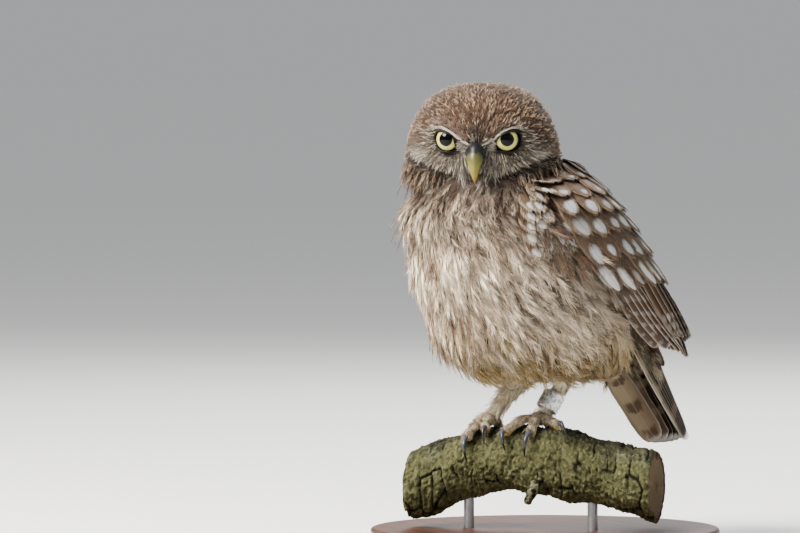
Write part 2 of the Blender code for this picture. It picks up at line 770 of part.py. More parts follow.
def wing_vanes(side, finish):
    """The feathers of a folded wing, tier by tier, each laid along the wing's surface."""
    draw = np.random.default_rng(11)
    vanes = []
    for name, tier in WING_TIERS.items():
        count, root_front, root_back, tip_front, tip_back, halves, height = tier
        outline = LONG_VANE if name in ("primary", "secondary") else SHORT_VANE
        along = outline[:, 0]
        part = np.linspace(0, 1, count)[:, None]
        bow = part ** (0.75 if name == "primary" else 1.0)
        root = np.array(root_front) + part * (np.array(root_back) - root_front)
        tip = np.array(tip_front) + bow * (np.array(tip_back) - tip_front)
        tip[:, 0] += draw.uniform(-0.012, 0.012, count)
        place = root[:, None] + (tip - root)[:, None] * along[:, None]
        point, over = wing_frame(place[..., 0], place[..., 1])
        lift = -ROOT_SINK + (height + ROOT_SINK) * along**0.7
        path = point + over * lift[:, None]
        heading = unit(np.gradient(path, axis=1))
        aside = np.gradient(path, axis=0)
        pitch = np.linalg.norm(np.cross(heading, aside), axis=-1)
        tilt = np.minimum(np.arcsin(np.minimum(VANE_CLEAR / pitch, 1.0)), STEEPEST_TILT)
        halves = halves[0] + (halves[1] - halves[0]) * part[:, 0] * draw.uniform(0.96, 1.04, count)
        for number in range(count):
            rings = vane_rings(outline, path[number], over[number], halves[number], tilt[number])
            vanes.append(ring_solid(name, mirrored(rings, side), finish))
    return vanes


def make_wing(side, finish, neighbours):
    """A folded wing: its feathers in tiers, joined at their roots to the arm beneath."""
    s = np.linspace(0.0, 0.93, 9)[:, None]
    t = np.linspace(0.03, 0.97, 5)[None]
    point, normal = wing_frame(s + 0.0 * t, t + 0.0 * s)
    thick = along_rows(WING_THICK, s * 7)
    edge = np.sin(math.pi * np.clip(t, 0.04, 0.96))[..., None] ** 0.35
    outer = point - normal * CORE_SINK
    rings = np.concatenate([outer, (outer - normal * thick * edge)[:, ::-1]], axis=1)
    wing = ring_solid(f"wing_{side}", mirrored(rings, side), finish)
    combine(wing, wing_vanes(side, finish), "UNION", "MANIFOLD")
    cutters = [swollen(o) for o in neighbours] + [middle_wall(side, finish)]
    return combine(wing, cutters, "DIFFERENCE", "MANIFOLD")


def middle_wall(side, finish):
    """A block over the far side of the owl's mid-plane, which keeps the wings apart."""
    corners = np.array([[-60.0, 60.0], [90.0, 60.0], [90.0, 220.0], [-60.0, 220.0]])
    rings = [np.column_stack([np.full(4, x), corners]) for x in (GAP / 2, -60.0)]
    return ring_solid("wall", mirrored(rings, side), finish)


# Tail

TAIL_TIP = np.array([0.0, 76.2, 47.0])
TAIL_SLOPE = math.radians(30.0)
TAIL_LENGTH = 74.0
TAIL_ROLL = math.radians(7.0)
TAIL_CORE = 0.42
RECTRIX_PAIRS = 6
RECTRIX_SPREAD = (1.2, 12.0)
RECTRIX_HALF = 6.0
RECTRIX_STEP = (4.0, 1.9)
RECTRIX_SHORTER = 0.055
TAIL_COVERTS = 4
COVERT_PITCH, COVERT_HALF = 6.0, 3.9
COVERT_TILT = math.radians(13.0)


def tail_frame():
    """Down the tail, across it to the owl's left, and out of its upper side."""
    down = np.array([0.0, math.sin(TAIL_SLOPE), -math.cos(TAIL_SLOPE)])
    upper = np.array([0.0, math.cos(TAIL_SLOPE), math.sin(TAIL_SLOPE)])
    left = np.array([1.0, 0.0, 0.0])
    across = left * math.cos(TAIL_ROLL) + upper * math.sin(TAIL_ROLL)
    return down, across, np.cross(down, across) * -1


def tail_place(along, aside, above):
    """A point on the tail: along runs 0 to 1 from root to tip, the others are millimetres."""
    down, across, upper = tail_frame()
    root = TAIL_TIP - down * TAIL_LENGTH
    along, aside, above = (np.asarray(v, float)[..., None] for v in (along, aside, above))
    return root + along * TAIL_LENGTH * down + aside * across + above * upper


def tail_vanes(finish):
    """Twelve tail feathers: each side's lie under one another from the middle outwards."""
    upper = tail_frame()[2]
    over = np.tile(upper, (len(LONG_VANE), 1))
    along = LONG_VANE[:, 0]
    vanes = []
    for number in range(RECTRIX_PAIRS):
        outward = number / (RECTRIX_PAIRS - 1)
        for hand in (1, -1):
            near, far = RECTRIX_SPREAD
            pitch = (far - near) * (1.0 - 0.32 * along) / (RECTRIX_PAIRS - 1)
            aside = hand * (near + number * pitch)
            step = RECTRIX_STEP[0] + (RECTRIX_STEP[1] - RECTRIX_STEP[0]) * along
            above = (2.5 - number) * step - 1.2 * (hand < 0) * (number == 0)
            end = 1.0 - RECTRIX_SHORTER * outward**2
            path = tail_place(0.12 + (end - 0.12) * along, aside, above)
            inner = min(RECTRIX_HALF, near + (far - near) * outward * 0.68 - 0.4)
            inner = RECTRIX_HALF * 0.6 if number == 0 else inner
            halves = (RECTRIX_HALF, inner) if hand > 0 else (inner, RECTRIX_HALF)
            roof = np.hypot(step, pitch)
            tilt = np.arctan2(step, pitch) - np.arcsin(VANE_CLEAR / roof)
            rings = vane_rings(LONG_VANE, path, over, halves[0], -hand * tilt, halves[1])
            vanes.append(ring_solid("rectrix", rings, finish))
    for number in range(TAIL_COVERTS):
        aside = (number - (TAIL_COVERTS - 1) / 2) * COVERT_PITCH
        along = SHORT_VANE[:, 0]
        path = tail_place(0.02 + 0.46 * along, aside + 0.0 * along, 9.2 + 1.6 * along)
        tilt = np.full(len(along), COVERT_TILT)
        rings = vane_rings(SHORT_VANE, path, over[: len(along)], COVERT_HALF, tilt)
        vanes.append(ring_solid("tail_covert", rings, finish))
    return vanes


def make_tail(finish, neighbours):
    """The tail: a short root from which its feathers and the coverts over them grow."""
    part = np.linspace(0, TAIL_CORE, 4)
    half = 8.0 + 5.0 * part / TAIL_CORE
    deep = 10.5 - 3.2 * part / TAIL_CORE
    turn = np.linspace(0, 2 * math.pi, 12, endpoint=False)
    rings = tail_place(
        part[:, None] + 0.0 * turn,
        half[:, None] * np.sign(np.cos(turn)) * np.abs(np.cos(turn)) ** 0.8,
        deep[:, None] * np.sin(turn),
    )
    tail = ring_solid("tail", rings, finish)
    combine(tail, tail_vanes(finish), "UNION", "MANIFOLD")
    return combine(tail, [swollen(o) for o in neighbours], "DIFFERENCE", "MANIFOLD")


def main():
    for obj in list(bpy.data.objects):
        bpy.data.objects.remove(obj)
    down = material("down", (0.42, 0.31, 0.22), 0.9)
    pale = material("pale_down", (0.66, 0.57, 0.45), 0.9)
    vane = material("vanes", (0.24, 0.16, 0.11), 0.7)
    shank = material("shank_down", (0.56, 0.45, 0.31), 0.9)
    toe_skin = material("toe_skin", (0.45, 0.33, 0.16), 0.7)
    iris = material("iris", (0.72, 0.68, 0.16), 0.15)
    horn = material("bill_horn", (0.55, 0.52, 0.14), 0.35)
    talon = material("talon_horn", (0.07, 0.07, 0.08), 0.3)
    metal = material("ring_metal", (0.72, 0.72, 0.72), 0.35, 1.0)
    bark = material("bark", (0.16, 0.15, 0.08), 0.95)
    wood = material("base_wood", (0.10, 0.06, 0.035), 0.45)
    steel = material("rod_steel", (0.35, 0.35, 0.36), 0.3, 1.0)

    torso, neck = make_trunk(pale)
    head, eyes, upper, lower = make_head(down, iris, horn)
    combine(neck, [swollen(o) for o in (head, upper, lower)], "DIFFERENCE")
    combine(torso, [swollen(o) for o in (head, upper, lower)], "DIFFERENCE")
    tail = make_tail(vane, [torso])
    wings = [make_wing(side, vane, (torso, neck, head)) for side in ("left", "right")]
    perch = make_perch(bark)
    base, rods = make_stand(perch, wood, steel)
    rounded = [torso, neck, head, *eyes, upper, lower, tail, *wings, perch, base, *rods]
    for side in ("left", "right"):
        foot = make_foot(side, toe_skin)
        leg = make_leg(side, foot, torso, shank)
        rounded += [foot, leg, *make_claws(side, foot, talon)]
    rounded.append(make_ring(metal))
    for obj in rounded:
        shade(obj)


main()
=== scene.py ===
# %% [markdown]
# # A young little owl on a cut branch
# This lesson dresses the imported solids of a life-size display model: a fledged little owl with a
# ringed leg, gripping a mossy length of branch on a plain stand. The solids give every place and
# size. Here they get soft plumage, spotted wing feathers, wet eyes, horn, bark and metal, all as
# mesh and procedural finishes. Sizes below are millimetres, and meshes are written in metres.

# %% Frame, units and the CAD box
import math

import bpy
import numpy as np
from mathutils import Matrix
from mathutils.kdtree import KDTree


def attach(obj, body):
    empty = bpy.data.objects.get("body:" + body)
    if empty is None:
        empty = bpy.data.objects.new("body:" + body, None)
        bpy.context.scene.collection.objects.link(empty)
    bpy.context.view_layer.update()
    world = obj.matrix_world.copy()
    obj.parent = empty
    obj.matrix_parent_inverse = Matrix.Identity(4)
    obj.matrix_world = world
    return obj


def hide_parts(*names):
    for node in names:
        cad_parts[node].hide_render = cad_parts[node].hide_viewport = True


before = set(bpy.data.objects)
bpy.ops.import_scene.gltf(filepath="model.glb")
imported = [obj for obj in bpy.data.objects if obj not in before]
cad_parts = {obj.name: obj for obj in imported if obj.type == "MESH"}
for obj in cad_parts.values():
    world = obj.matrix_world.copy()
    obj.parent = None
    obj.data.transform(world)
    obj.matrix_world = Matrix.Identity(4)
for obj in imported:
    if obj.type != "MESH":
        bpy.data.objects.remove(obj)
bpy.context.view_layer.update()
MM = 0.001
UP = np.array([0.0, 0.0, 1.0])
SIDES = (("left", 1.0), ("right", -1.0))
print("solids:", len(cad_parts), "nodes")

# %% [markdown]
# The photograph was taken with a long lens, level with the bird and from its front left. A long
# lens far away keeps the owl's proportions, so the camera stands over three metres off. The place
# that it looks at is worked out from one scale: how many millimetres a picture pixel covers at the
# bird.

# %% Camera
PHOTO_SIZE = (800, 533)
PIXEL = 0.47
AXIS_PIXEL = (545.0, 542.0)
VIEW_TURN, VIEW_RISE = math.radians(55.0), math.radians(2.0)
LENS, SENSOR = 300.0, 36.0

to_camera = np.array(
    [
        math.sin(VIEW_TURN) * math.cos(VIEW_RISE), -math.cos(VIEW_TURN) * math.cos(VIEW_RISE),
        math.sin(VIEW_RISE)
    ]
)
view_right = np.array([math.cos(VIEW_TURN), math.sin(VIEW_TURN), 0.0])
view_up = np.cross(to_camera, view_right)
camera_reach = PHOTO_SIZE[0] * PIXEL * LENS / SENSOR
aim = view_right * (PHOTO_SIZE[0] / 2 - AXIS_PIXEL[0]) * PIXEL
aim = aim + view_up * (AXIS_PIXEL[1] - PHOTO_SIZE[1] / 2) * PIXEL
camera = bpy.data.objects.new("camera", bpy.data.cameras.new("camera"))
camera.data.lens = LENS
camera.data.sensor_width = SENSOR
camera.data.clip_start, camera.data.clip_end = 0.1, 30.0
turned = np.column_stack([view_right, view_up, to_camera])
camera.matrix_world = Matrix.Translation((aim + to_camera * camera_reach) * MM) @ Matrix(
    turned.tolist()
).to_4x4()
bpy.context.scene.collection.objects.link(camera)
bpy.context.scene.camera = camera
print("camera", round(camera_reach), "mm away,", round(camera.location.z * 1000), "mm high")

# %% [markdown]
# Small helpers carry the whole lesson: a smooth curve through rows of sizes, soft steps, and value
# noise, which is a random number for each corner of a grid of cells, blended across each cell.
# Because the noise is made from a fixed sum of whole numbers, every run gives the same owl.

# %% Numbers
def unit(vectors):
    return vectors / np.maximum(np.linalg.norm(vectors, axis=-1, keepdims=True), 1e-9)


def bump(distance, width):
    """A bell that is 1 at no distance: e to minus the square of distance over width."""
    return np.exp(-((distance / width) ** 2))


def soft(low, high, value):
    """A smooth step: 0 below low, 1 above high, and 3p^2 - 2p^3 of the share p between."""
    share = np.clip((value - low) / (high - low), 0.0, 1.0)
    return share * share * (3.0 - 2.0 * share)


def along_rows(rows, at):
    """Rows read at fractional row numbers, on a Catmull-Rom curve through them."""
    at = np.clip(np.asarray(at, float), 0, len(rows) - 1)
    low = np.minimum(at.astype(int), len(rows) - 2)
    part = (at - low)[..., None]
    before, after = rows[np.maximum(low - 1, 0)], rows[np.minimum(low + 2, len(rows) - 1)]
    first, second = rows[low], rows[low + 1]
    return 0.5 * (
        2 * first + (second - before) * part
        + (2 * before - 5 * first + 4 * second - after) * part**2
        + (3 * first - before - 3 * second + after) * part**3
    )


def rows_at(rows, value):
    """The smooth rows where their first column, which only grows, has this value."""
    steps = np.linspace(0, len(rows) - 1, 40 * len(rows))
    return along_rows(rows, np.interp(value, along_rows(rows, steps)[:, 0], steps))


def cell_random(cells, seed):
    """A fixed random number from 0 to 1 for each whole-number cell: its numbers are multiplied
    by large primes, mixed with shifts and kept to 24 bits."""
    cells = cells.astype(np.int64)
    mixed = cells[..., 0] * 73856093 ^ cells[..., 1] * 19349663 ^ cells[..., 2] * 83492791
    mixed = (mixed ^ (seed * 2654435761)) & 0xFFFFFFFF
    mixed = ((mixed ^ (mixed >> 15)) * 2246822519) & 0xFFFFFFFF
    mixed = ((mixed ^ (mixed >> 13)) * 3266489917) & 0xFFFFFFFF
    return ((mixed ^ (mixed >> 16)) & 0xFFFFFF) / 16777215.0


def noise(points, size, seed=0):
    """Value noise from -1 to 1 with lumps of this size: the eight corners of each cell blended."""
    at = np.asarray(points, float) / size
    cell = np.floor(at)
    share = at - cell
    share = share * share * (3.0 - 2.0 * share)
    total = 0.0
    for corner in np.ndindex(2, 2, 2):
        weight = np.prod(np.where(corner, share, 1.0 - share), axis=-1)
        total = total + weight * cell_random(cell + np.array(corner), seed)
    return 2.0 * total - 1.0


def layered(points, size, layers, seed=0):
    """Noise at this size, and again at half the size and half the strength, layer by layer."""
    return sum(noise(points, size / 2**k, seed + k) * 0.5**k for k in range(layers))


def linear(code):
    """The linear colour of a hex colour code: each part is unwound from the sRGB curve."""
    parts = np.array([int(code[i : i + 2], 16) / 255.0 for i in (0, 2, 4)])
    return np.where(parts <= 0.04045, parts / 12.92, ((parts + 0.055) / 1.055) ** 2.4)


def blend(first, second, share):
    return first + (second - first) * np.asarray(share)[..., None]


def circle(count):
    """Even angles once round, in radians."""
    return np.linspace(0, math.tau, count, endpoint=False)


def turning(angle):
    """The matrix of a turn about the upright."""
    cos, sin = math.cos(angle), math.sin(angle)
    return np.array([[cos, -sin, 0.0], [sin, cos, 0.0], [0.0, 0.0, 1.0]])


def search_tree(points):
    """A search for the nearest of these places."""
    tree = KDTree(len(points))
    for index, point in enumerate(points):
        tree.insert(point, index)
    tree.balance()
    return tree


# %% [markdown]
# A mesh can be written from arrays in one go: all corner places, then all face corners. One
# function does it for every piece here. It can also carry a colour for each point, which is how
# the plumage gets its markings, and a second layer of picture coordinates.

# %% Mesh and piece helpers
def grid_faces(rows, columns, closed=False):
    """The four-cornered faces of a grid of points, with its last column joined to its first."""
    index = np.arange(rows * columns).reshape(rows, columns)
    if closed:
        index = np.concatenate([index, index[:, :1]], axis=1)
    corners = [index[:-1, :-1], index[:-1, 1:], index[1:, 1:], index[1:, :-1]]
    return np.stack(corners, axis=-1).reshape(-1, 4)


def ring_faces(rows, around):
    """The faces of a closed tube of rings, with one extra point closing each end."""
    index = np.arange(rows * around).reshape(rows, around)
    turned, start, end = np.roll(index, -1, axis=1), rows * around, rows * around + 1
    low = np.stack([np.full(around, start), turned[0], index[0]], axis=-1)
    high = np.stack([np.full(around, end), index[-1], turned[-1]], axis=-1)
    return [grid_faces(rows, around, closed=True), low, high]


def ring_points(rings):
    return np.vstack([rings.reshape(-1, 3), rings[0].mean(0), rings[-1].mean(0)])


def colour_points(mesh, colours):
    """Gives each point of a mesh its linear colour."""
    layer = mesh.color_attributes.new("colour", "FLOAT_COLOR", "POINT")
    full = np.concatenate([colours, np.ones((len(colours), 1))], axis=1)
    layer.data.foreach_set("color", full.astype(np.float32).ravel())


def move_points(mesh, points):
    """Writes the places of a mesh's points, given in millimetres."""
    mesh.vertices.foreach_set("co", (np.asarray(points) * MM).astype(np.float32).ravel())


def mesh_piece(name, points, faces, finish=None, colours=None, uvs=None, values=None):
    """A mesh object from places in millimetres. faces is an array, or several with other counts of
    corners, colours is one linear colour for each point, uvs maps a name to a pair for each point,
    and values maps a name to three numbers for each point."""
    groups = faces if isinstance(faces, list) else [faces]
    spots = np.asarray(points)
    turned = sum(
        np.einsum(
            "ij,ij->", spots[group[:, 0]], np.cross(spots[group[:, k]], spots[group[:, k + 1]])
        )
        for group in groups for k in range(1, group.shape[1] - 1)
    )
    if turned < 0:
        groups = [group[:, ::-1] for group in groups]
    corners = np.concatenate([group.ravel() for group in groups]).astype(np.int32)
    counts = np.concatenate([np.full(len(group), group.shape[1]) for group in groups])
    mesh = bpy.data.meshes.new(name)
    mesh.vertices.add(len(points))
    move_points(mesh, points)
    mesh.loops.add(len(corners))
    mesh.loops.foreach_set("vertex_index", corners)
    mesh.polygons.add(len(counts))
    starts = np.concatenate([[0], np.cumsum(counts)[:-1]]).astype(np.int32)
    mesh.polygons.foreach_set("loop_start", starts)
    mesh.update(calc_edges=True)
    mesh.shade_smooth()
    if colours is not None:
        colour_points(mesh, colours)
    for title, pairs in (uvs or {}).items():
        layer = mesh.uv_layers.new(name=title)
        layer.data.foreach_set("uv", pairs[corners].astype(np.float32).ravel())
    for title, triples in (values or {}).items():
        layer = mesh.attributes.new(title, "FLOAT_VECTOR", "POINT")
        layer.data.foreach_set("vector", triples.astype(np.float32).ravel())
    piece = bpy.data.objects.new(name, mesh)
    bpy.context.scene.collection.objects.link(piece)
    if finish is not None:
        mesh.materials.append(finish)
    return piece


def ring_piece(name, rings, finish, place=None, **values):
    """A tube of rings closed at both ends. place carries its points to the owl's own frame."""
    walls, *ends = ring_faces(*rings.shape[:2])
    points = ring_points(rings) if place is None else place(ring_points(rings))
    return mesh_piece(name, points, [walls, np.concatenate(ends)], finish, values=values)


def dress(piece, slot, *nodes):
    """The piece rides on the one body and stands for these solids. slot is not used."""
    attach(piece, "root")
    if nodes:
        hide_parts(*nodes)
    piece.data.calc_loop_triangles()
    print(piece.name, len(piece.data.loop_triangles), "triangles")
    return piece


# %% [markdown]
# Shader graphs read best as sums. The class below wraps a socket, so that `1 - spot * 0.4` adds
# the Math nodes that say the same. Every other node comes from one method, which takes the node's
# kind, its settings and the values or links of its sockets.

# %% Shader maths
class Wire:
    """A socket of a finish, on which Python's operators add Math nodes."""

    def __init__(self, finish, socket):
        self.finish, self.socket = finish, socket

    def math(self, operation, *others):
        inputs = dict(enumerate((self, *others)))
        return self.finish.node("ShaderNodeMath", {"operation": operation}, inputs)

    def __add__(self, other):
        return self.math("ADD", other)

    def __mul__(self, other):
        return self.math("MULTIPLY", other)

    def __sub__(self, other):
        return self.math("SUBTRACT", other)

    def __rsub__(self, other):
        return self.finish.node("ShaderNodeMath", {"operation": "SUBTRACT"}, {0: other, 1: self})

    def __truediv__(self, other):
        return self.math("DIVIDE", other)

    def __pow__(self, other):
        return self.math("POWER", other)

    __radd__ = __add__
    __rmul__ = __mul__

    def step(self, low, high):
        """A smooth step from 0 at low to 1 at high, or the other way where high is less."""
        settings = {"interpolation_type": "SMOOTHSTEP"}
        if low < high:
            values = {"Value": self, "From Min": low, "From Max": high}
            return self.finish.node("ShaderNodeMapRange", settings, values)
        values = {"Value": self, "From Min": high, "From Max": low, "To Min": 1.0, "To Max": 0.0}
        return self.finish.node("ShaderNodeMapRange", settings, values)

    def parts(self):
        """The three parts of a vector."""
        return [self.finish.node("ShaderNodeSeparateXYZ", {}, {0: self}, k) for k in range(3)]


class Finish:
    """A material and its one Principled shader, with short ways to add nodes."""

    def __init__(self, name, **fixed):
        self.material = bpy.data.materials.new(name)
        self.material.use_nodes = True
        self.tree = self.material.node_tree
        self.shader = self.tree.nodes["Principled BSDF"]
        for title, value in fixed.items():
            self.shader.inputs[title.replace("_", " ")].default_value = value

    def node(self, kind, settings, inputs, output=0):
        made = self.tree.nodes.new(kind)
        for title, value in settings.items():
            if title == "stops":
                for place, colour in value[2:]:
                    made.color_ramp.elements.new(place)
                for element, (place, colour) in zip(made.color_ramp.elements, sorted(value)):
                    element.position, element.color = place, (*colour, 1.0)
            else:
                setattr(made, title, value)
        for title, value in inputs.items():
            if isinstance(value, Wire):
                self.tree.links.new(value.socket, made.inputs[title])
            else:
                made.inputs[title].default_value = value
        return Wire(self, made.outputs[output])

    def place(self):
        """Object coordinates, in metres."""
        return self.node("ShaderNodeTexCoord", {}, {}, "Object")

    def value(self, name, output="Vector"):
        return self.node("ShaderNodeAttribute", {"attribute_name": name}, {}, output)

    def uv(self, name):
        return self.node("ShaderNodeUVMap", {"uv_map": name}, {})

    def vector(self, x, y, z=0.0):
        return self.node("ShaderNodeCombineXYZ", {}, {0: x, 1: y, 2: z})

    def scaled(self, vector, by):
        return self.node("ShaderNodeVectorMath", {"operation": "MULTIPLY"}, {0: vector, 1: by})

    def noise(self, vector, scale, detail=3.0, roughness=0.55):
        values = {"Vector": vector, "Scale": scale, "Detail": detail, "Roughness": roughness}
        return self.node("ShaderNodeTexNoise", {}, values)

    def ramp(self, share, *stops):
        return self.node("ShaderNodeValToRGB", {"stops": list(stops)}, {0: share})

    def mix(self, share, first, second, blend_type="MIX"):
        settings = {"data_type": "RGBA", "blend_type": blend_type}
        first, second = (
            value if isinstance(value, Wire) else (*value, 1.0) for value in (first, second)
        )
        return self.node("ShaderNodeMix", settings, {0: share, 6: first, 7: second}, 2)

    def feed(self, title, wire):
        self.tree.links.new(wire.socket, self.shader.inputs[title])
        return self

    def relief(self, height, distance, strength=1.0):
        values = {"Height": height, "Distance": distance, "Strength": strength}
        return self.feed("Normal", self.node("ShaderNodeBump", {}, values))


# %% [markdown]
# The owl's shape comes from the same rows of sizes as its solids: level slices of the trunk, level
# slices of the head in the head's own frame, and three guide lines for each folded wing. The skin
# that carries the plumage lies inside those outlines by the depth of the coat.

# %% Sizes of the trunk and head
# Rows of height, middle of the slice in y, half its depth and half its width
TORSO_ROWS = np.array(
    [
        [73.0, 5.0, 13.0, 7.0], [74.2, 4.0, 26.0, 14.0], [77.0, 2.0, 36.0, 21.5],
        [81.5, -1.0, 42.5, 28.0], [87.0, -3.5, 47.5, 32.5], [94.0, -6.0, 52.0, 36.5],
        [102.0, -8.5, 54.0, 40.0], [111.5, -10.5, 55.0, 42.5], [122.5, -14.0, 56.0, 44.0],
        [134.0, -18.0, 55.0, 45.0], [144.0, -20.5, 54.0, 45.0], [153.0, -24.5, 52.5, 44.0],
        [160.0, -28.0, 47.0, 41.0], [167.0, -30.5, 39.5, 36.5], [173.0, -32.0, 32.5, 31.5],
        [179.0, -33.0, 26.0, 27.0]
    ]
)
HEAD_MIDDLE = np.array([0.0, -35.9, 0.0])
HEAD_TURN = math.radians(48.0)
# Rows of height, half width, depth to the front and depth to the back
HEAD_ROWS = np.array(
    [
        [161.5, 6.0, 8.0, 6.0], [163.0, 17.0, 17.0, 14.0], [167.0, 28.5, 24.0, 24.0],
        [172.0, 35.0, 27.6, 30.0], [178.0, 38.2, 29.4, 33.5], [184.0, 38.4, 29.8, 35.0],
        [190.0, 37.2, 30.0, 35.4], [196.0, 35.0, 29.6, 34.4], [202.0, 31.8, 27.6, 32.0],
        [207.0, 28.0, 24.0, 28.4], [211.0, 23.2, 18.6, 23.2], [213.8, 16.5, 12.4, 16.5],
        [215.2, 7.0, 5.0, 7.0]
    ]
)
EYE_SPREAD, EYE_HEIGHT, EYE_DEPTH, EYE_RADIUS = 12.8, 190.0, 21.6, 7.2
EYE_OUTWARD = math.radians(12.0)
BODY_COAT, HEAD_COAT = 4.6, 2.6

head_turning = turning(HEAD_TURN)


def from_head(points):
    """Carries points from the head's own frame, front -Y and left +X, to the owl's."""
    return np.asarray(points, float) @ head_turning.T + HEAD_MIDDLE


def to_head(points):
    return (np.asarray(points, float) - HEAD_MIDDLE) @ head_turning


BROW_ROWS = np.array(
    [
        [0, 186.6], [4, 187.6], [8, 190.0], [12, 193.2], [17, 195.2], [22, 194.0], [27, 191.2],
        [40, 184.0]
    ],
    float
)


def brow_line(x):
    """How high the pale brow runs at this distance from the head's middle."""
    return rows_at(BROW_ROWS, np.abs(x))[..., 1]


def over_brow(q):
    """How far places in the head's frame lie over the brow."""
    return q[:, 2] - brow_line(q[:, 0])


def disc_line(x):
    """How high the lower edge of the face's disc runs: lowest under the bill."""
    return 169.8 + 0.30 * np.abs(x) + 0.002 * x**2


def over_disc(q):
    """How far places in the head's frame lie over that edge."""
    return q[:, 2] - disc_line(q[:, 0])


def face_relief(x, z):
    """How far the face stands out, in the head's frame: brows, eye hollows, disc and cheeks."""
    side = np.abs(x)
    above = z - brow_line(x)
    brows = 2.2 * np.where(above > 0, bump(above, 6.0), bump(above, 1.6)) * bump(side - 11.0, 11.0)
    eye_gap = np.hypot(side - EYE_SPREAD, (z - EYE_HEIGHT) * 1.1)
    hollow = -3.0 * bump(eye_gap, 7.2) * soft(0.8, -0.6, above)
    over_rim = z - disc_line(x)
    rim = 1.0 * bump(over_rim - 1.6, 1.8)
    groove = -1.2 * bump(over_rim + 2.4, 1.8) * soft(33.0, 26.0, side)
    bridge = 1.8 * bump(side, 4.5) * bump(z - 186.0, 6.0)
    return brows + hollow + rim + groove + bridge


def trunk_rings(count, around):
    """Level ellipses, less the coat's depth."""
    rows = rows_at(TORSO_ROWS, np.linspace(73.0, 178.6, count))
    turn = circle(around)
    deep = np.maximum(rows[:, 2:3] - BODY_COAT, 2.0)
    wide = np.maximum(rows[:, 3:4] - BODY_COAT, 2.0)
    z = np.maximum(rows[:, :1], 73.0 + BODY_COAT - 1.0 + 0.02 * rows[:, :1])
    return np.stack(
        [wide * np.sin(turn), rows[:, 1:2] - deep * np.cos(turn), z + 0 * turn], axis=-1
    )


# Heights where the head is a little wider than its rows, by what share, and how far up and down
HEAD_WIDER = [(209.0, 0.045, 4.5), (201.0, 0.06, 6.0), (190.0, 0.03, 7.0), (174.0, 0.05, 8.0)]
HEAD_WAIST = 188.0


def head_rings(count, around, coat):
    """Level half ellipses front and back, with the face's relief, less the coat's depth."""
    rows = along_rows(HEAD_ROWS, np.linspace(0, len(HEAD_ROWS) - 1, count))
    turn = np.linspace(-math.pi, math.pi, around, endpoint=False)
    turn = turn - 0.32 * np.sin(turn)
    wide = np.maximum(rows[:, 1:2] - 1.5 * coat, 0.6)
    x = wide * np.sin(turn)
    deep = np.where(np.cos(turn) > 0, rows[:, 2:3], rows[:, 3:4]) - coat
    power = np.where(np.cos(turn) > 0, 0.82, 1.0)
    y = -np.maximum(deep, 0.6) * np.abs(np.cos(turn)) ** power * np.sign(np.cos(turn))
    z = rows[:, :1] + 0 * turn
    front = np.clip(np.cos(turn) * 2.2, 0, 1)
    closer = 1 - np.where(z > HEAD_WAIST, 0.45, 1.0) * coat / 27.0
    lowered = HEAD_WAIST + (z - HEAD_WAIST) * closer
    x = x * sum((much * bump(z - at, reach) for at, much, reach in HEAD_WIDER), start=1.0)
    lowered = lowered + 1.3 * soft(200.0, 213.0, z)
    return np.stack([x, y - face_relief(x, z) * front, lowered], axis=-1)


# %% Sizes of the wings, tail and legs
WING_LOWER = np.array(
    [
        [36.5, -33.0, 168.0], [44.5, -29.0, 160.0], [47.5, -16.0, 143.0], [46.5, -1.0, 124.5],
        [41.5, 15.5, 108.0], [35.0, 31.0, 97.0], [28.0, 48.0, 89.0], [20.0, 65.0, 86.5]
    ]
)
WING_CREST = np.array(
    [
        [31.0, -2.0, 175.5], [41.5, 6.0, 162.5], [43.5, 17.0, 149.0], [39.5, 32.0, 134.0],
        [34.0, 46.5, 118.0], [27.5, 58.0, 105.0], [22.0, 65.5, 95.0], [18.5, 68.5, 88.0]
    ]
)
WING_BACK = np.array(
    [
        [12.0, 4.0, 176.0], [10.0, 20.0, 165.0], [7.0, 33.5, 150.0], [5.0, 43.5, 133.0],
        [3.8, 52.5, 117.0], [3.8, 60.0, 104.0], [6.5, 65.5, 94.5], [13.5, 68.5, 88.5]
    ]
)
WING_THICK = np.array([9.0, 11.0, 12.0, 12.0, 10.0, 6.0, 4.0, 2.4])[:, None]
CORE_SINK = 2.6
TAIL_TIP = np.array([0.0, 76.2, 47.0])
TAIL_SLOPE, TAIL_ROLL = math.radians(30.0), math.radians(7.0)
TAIL_LENGTH = 74.0
LEG = {
    "left": (np.array([9.6, -9.6, 58.6]), np.array([12.0, 4.6, 81.0])),
    "right": (np.array([-10.0, -25.4, 57.8]), np.array([-10.8, -5.4, 79.0]))
}
LEG_SKIN = {
    "left": np.array([3.0, 2.7, 2.8, 3.8, 5.8, 7.6]),
    "right": np.array([3.0, 2.9, 3.4, 4.6, 6.4, 8.2])
}


def wing_surface(s, t):
    """The folded left wing's outside: s runs from shoulder to tip, t from below to the back.
    It is the parabola in t through the three guide lines at s."""
    s, t = np.broadcast_arrays(np.asarray(s, float), np.asarray(t, float))
    at = s * (len(WING_LOWER) - 1)
    t = t[..., None]
    return (
        along_rows(WING_LOWER, at) * (1 - t) * (1 - 2 * t)
        + along_rows(WING_CREST, at) * 4 * t * (1 - t)
        + along_rows(WING_BACK, at) * t * (2 * t - 1)
    )


def wing_frame(s, t):
    """A point of the wing, straight on past either end, and the outward normal there."""
    step = 0.01
    held = np.clip(s, step, 0.97)
    ahead = (wing_surface(held + step, t) - wing_surface(held - step, t)) / (2 * step)
    over = wing_surface(held, np.add(t, step)) - wing_surface(held, np.subtract(t, step))
    point = wing_surface(held, t) + (np.asarray(s) - held)[..., None] * ahead
    return point, unit(np.cross(ahead, over))


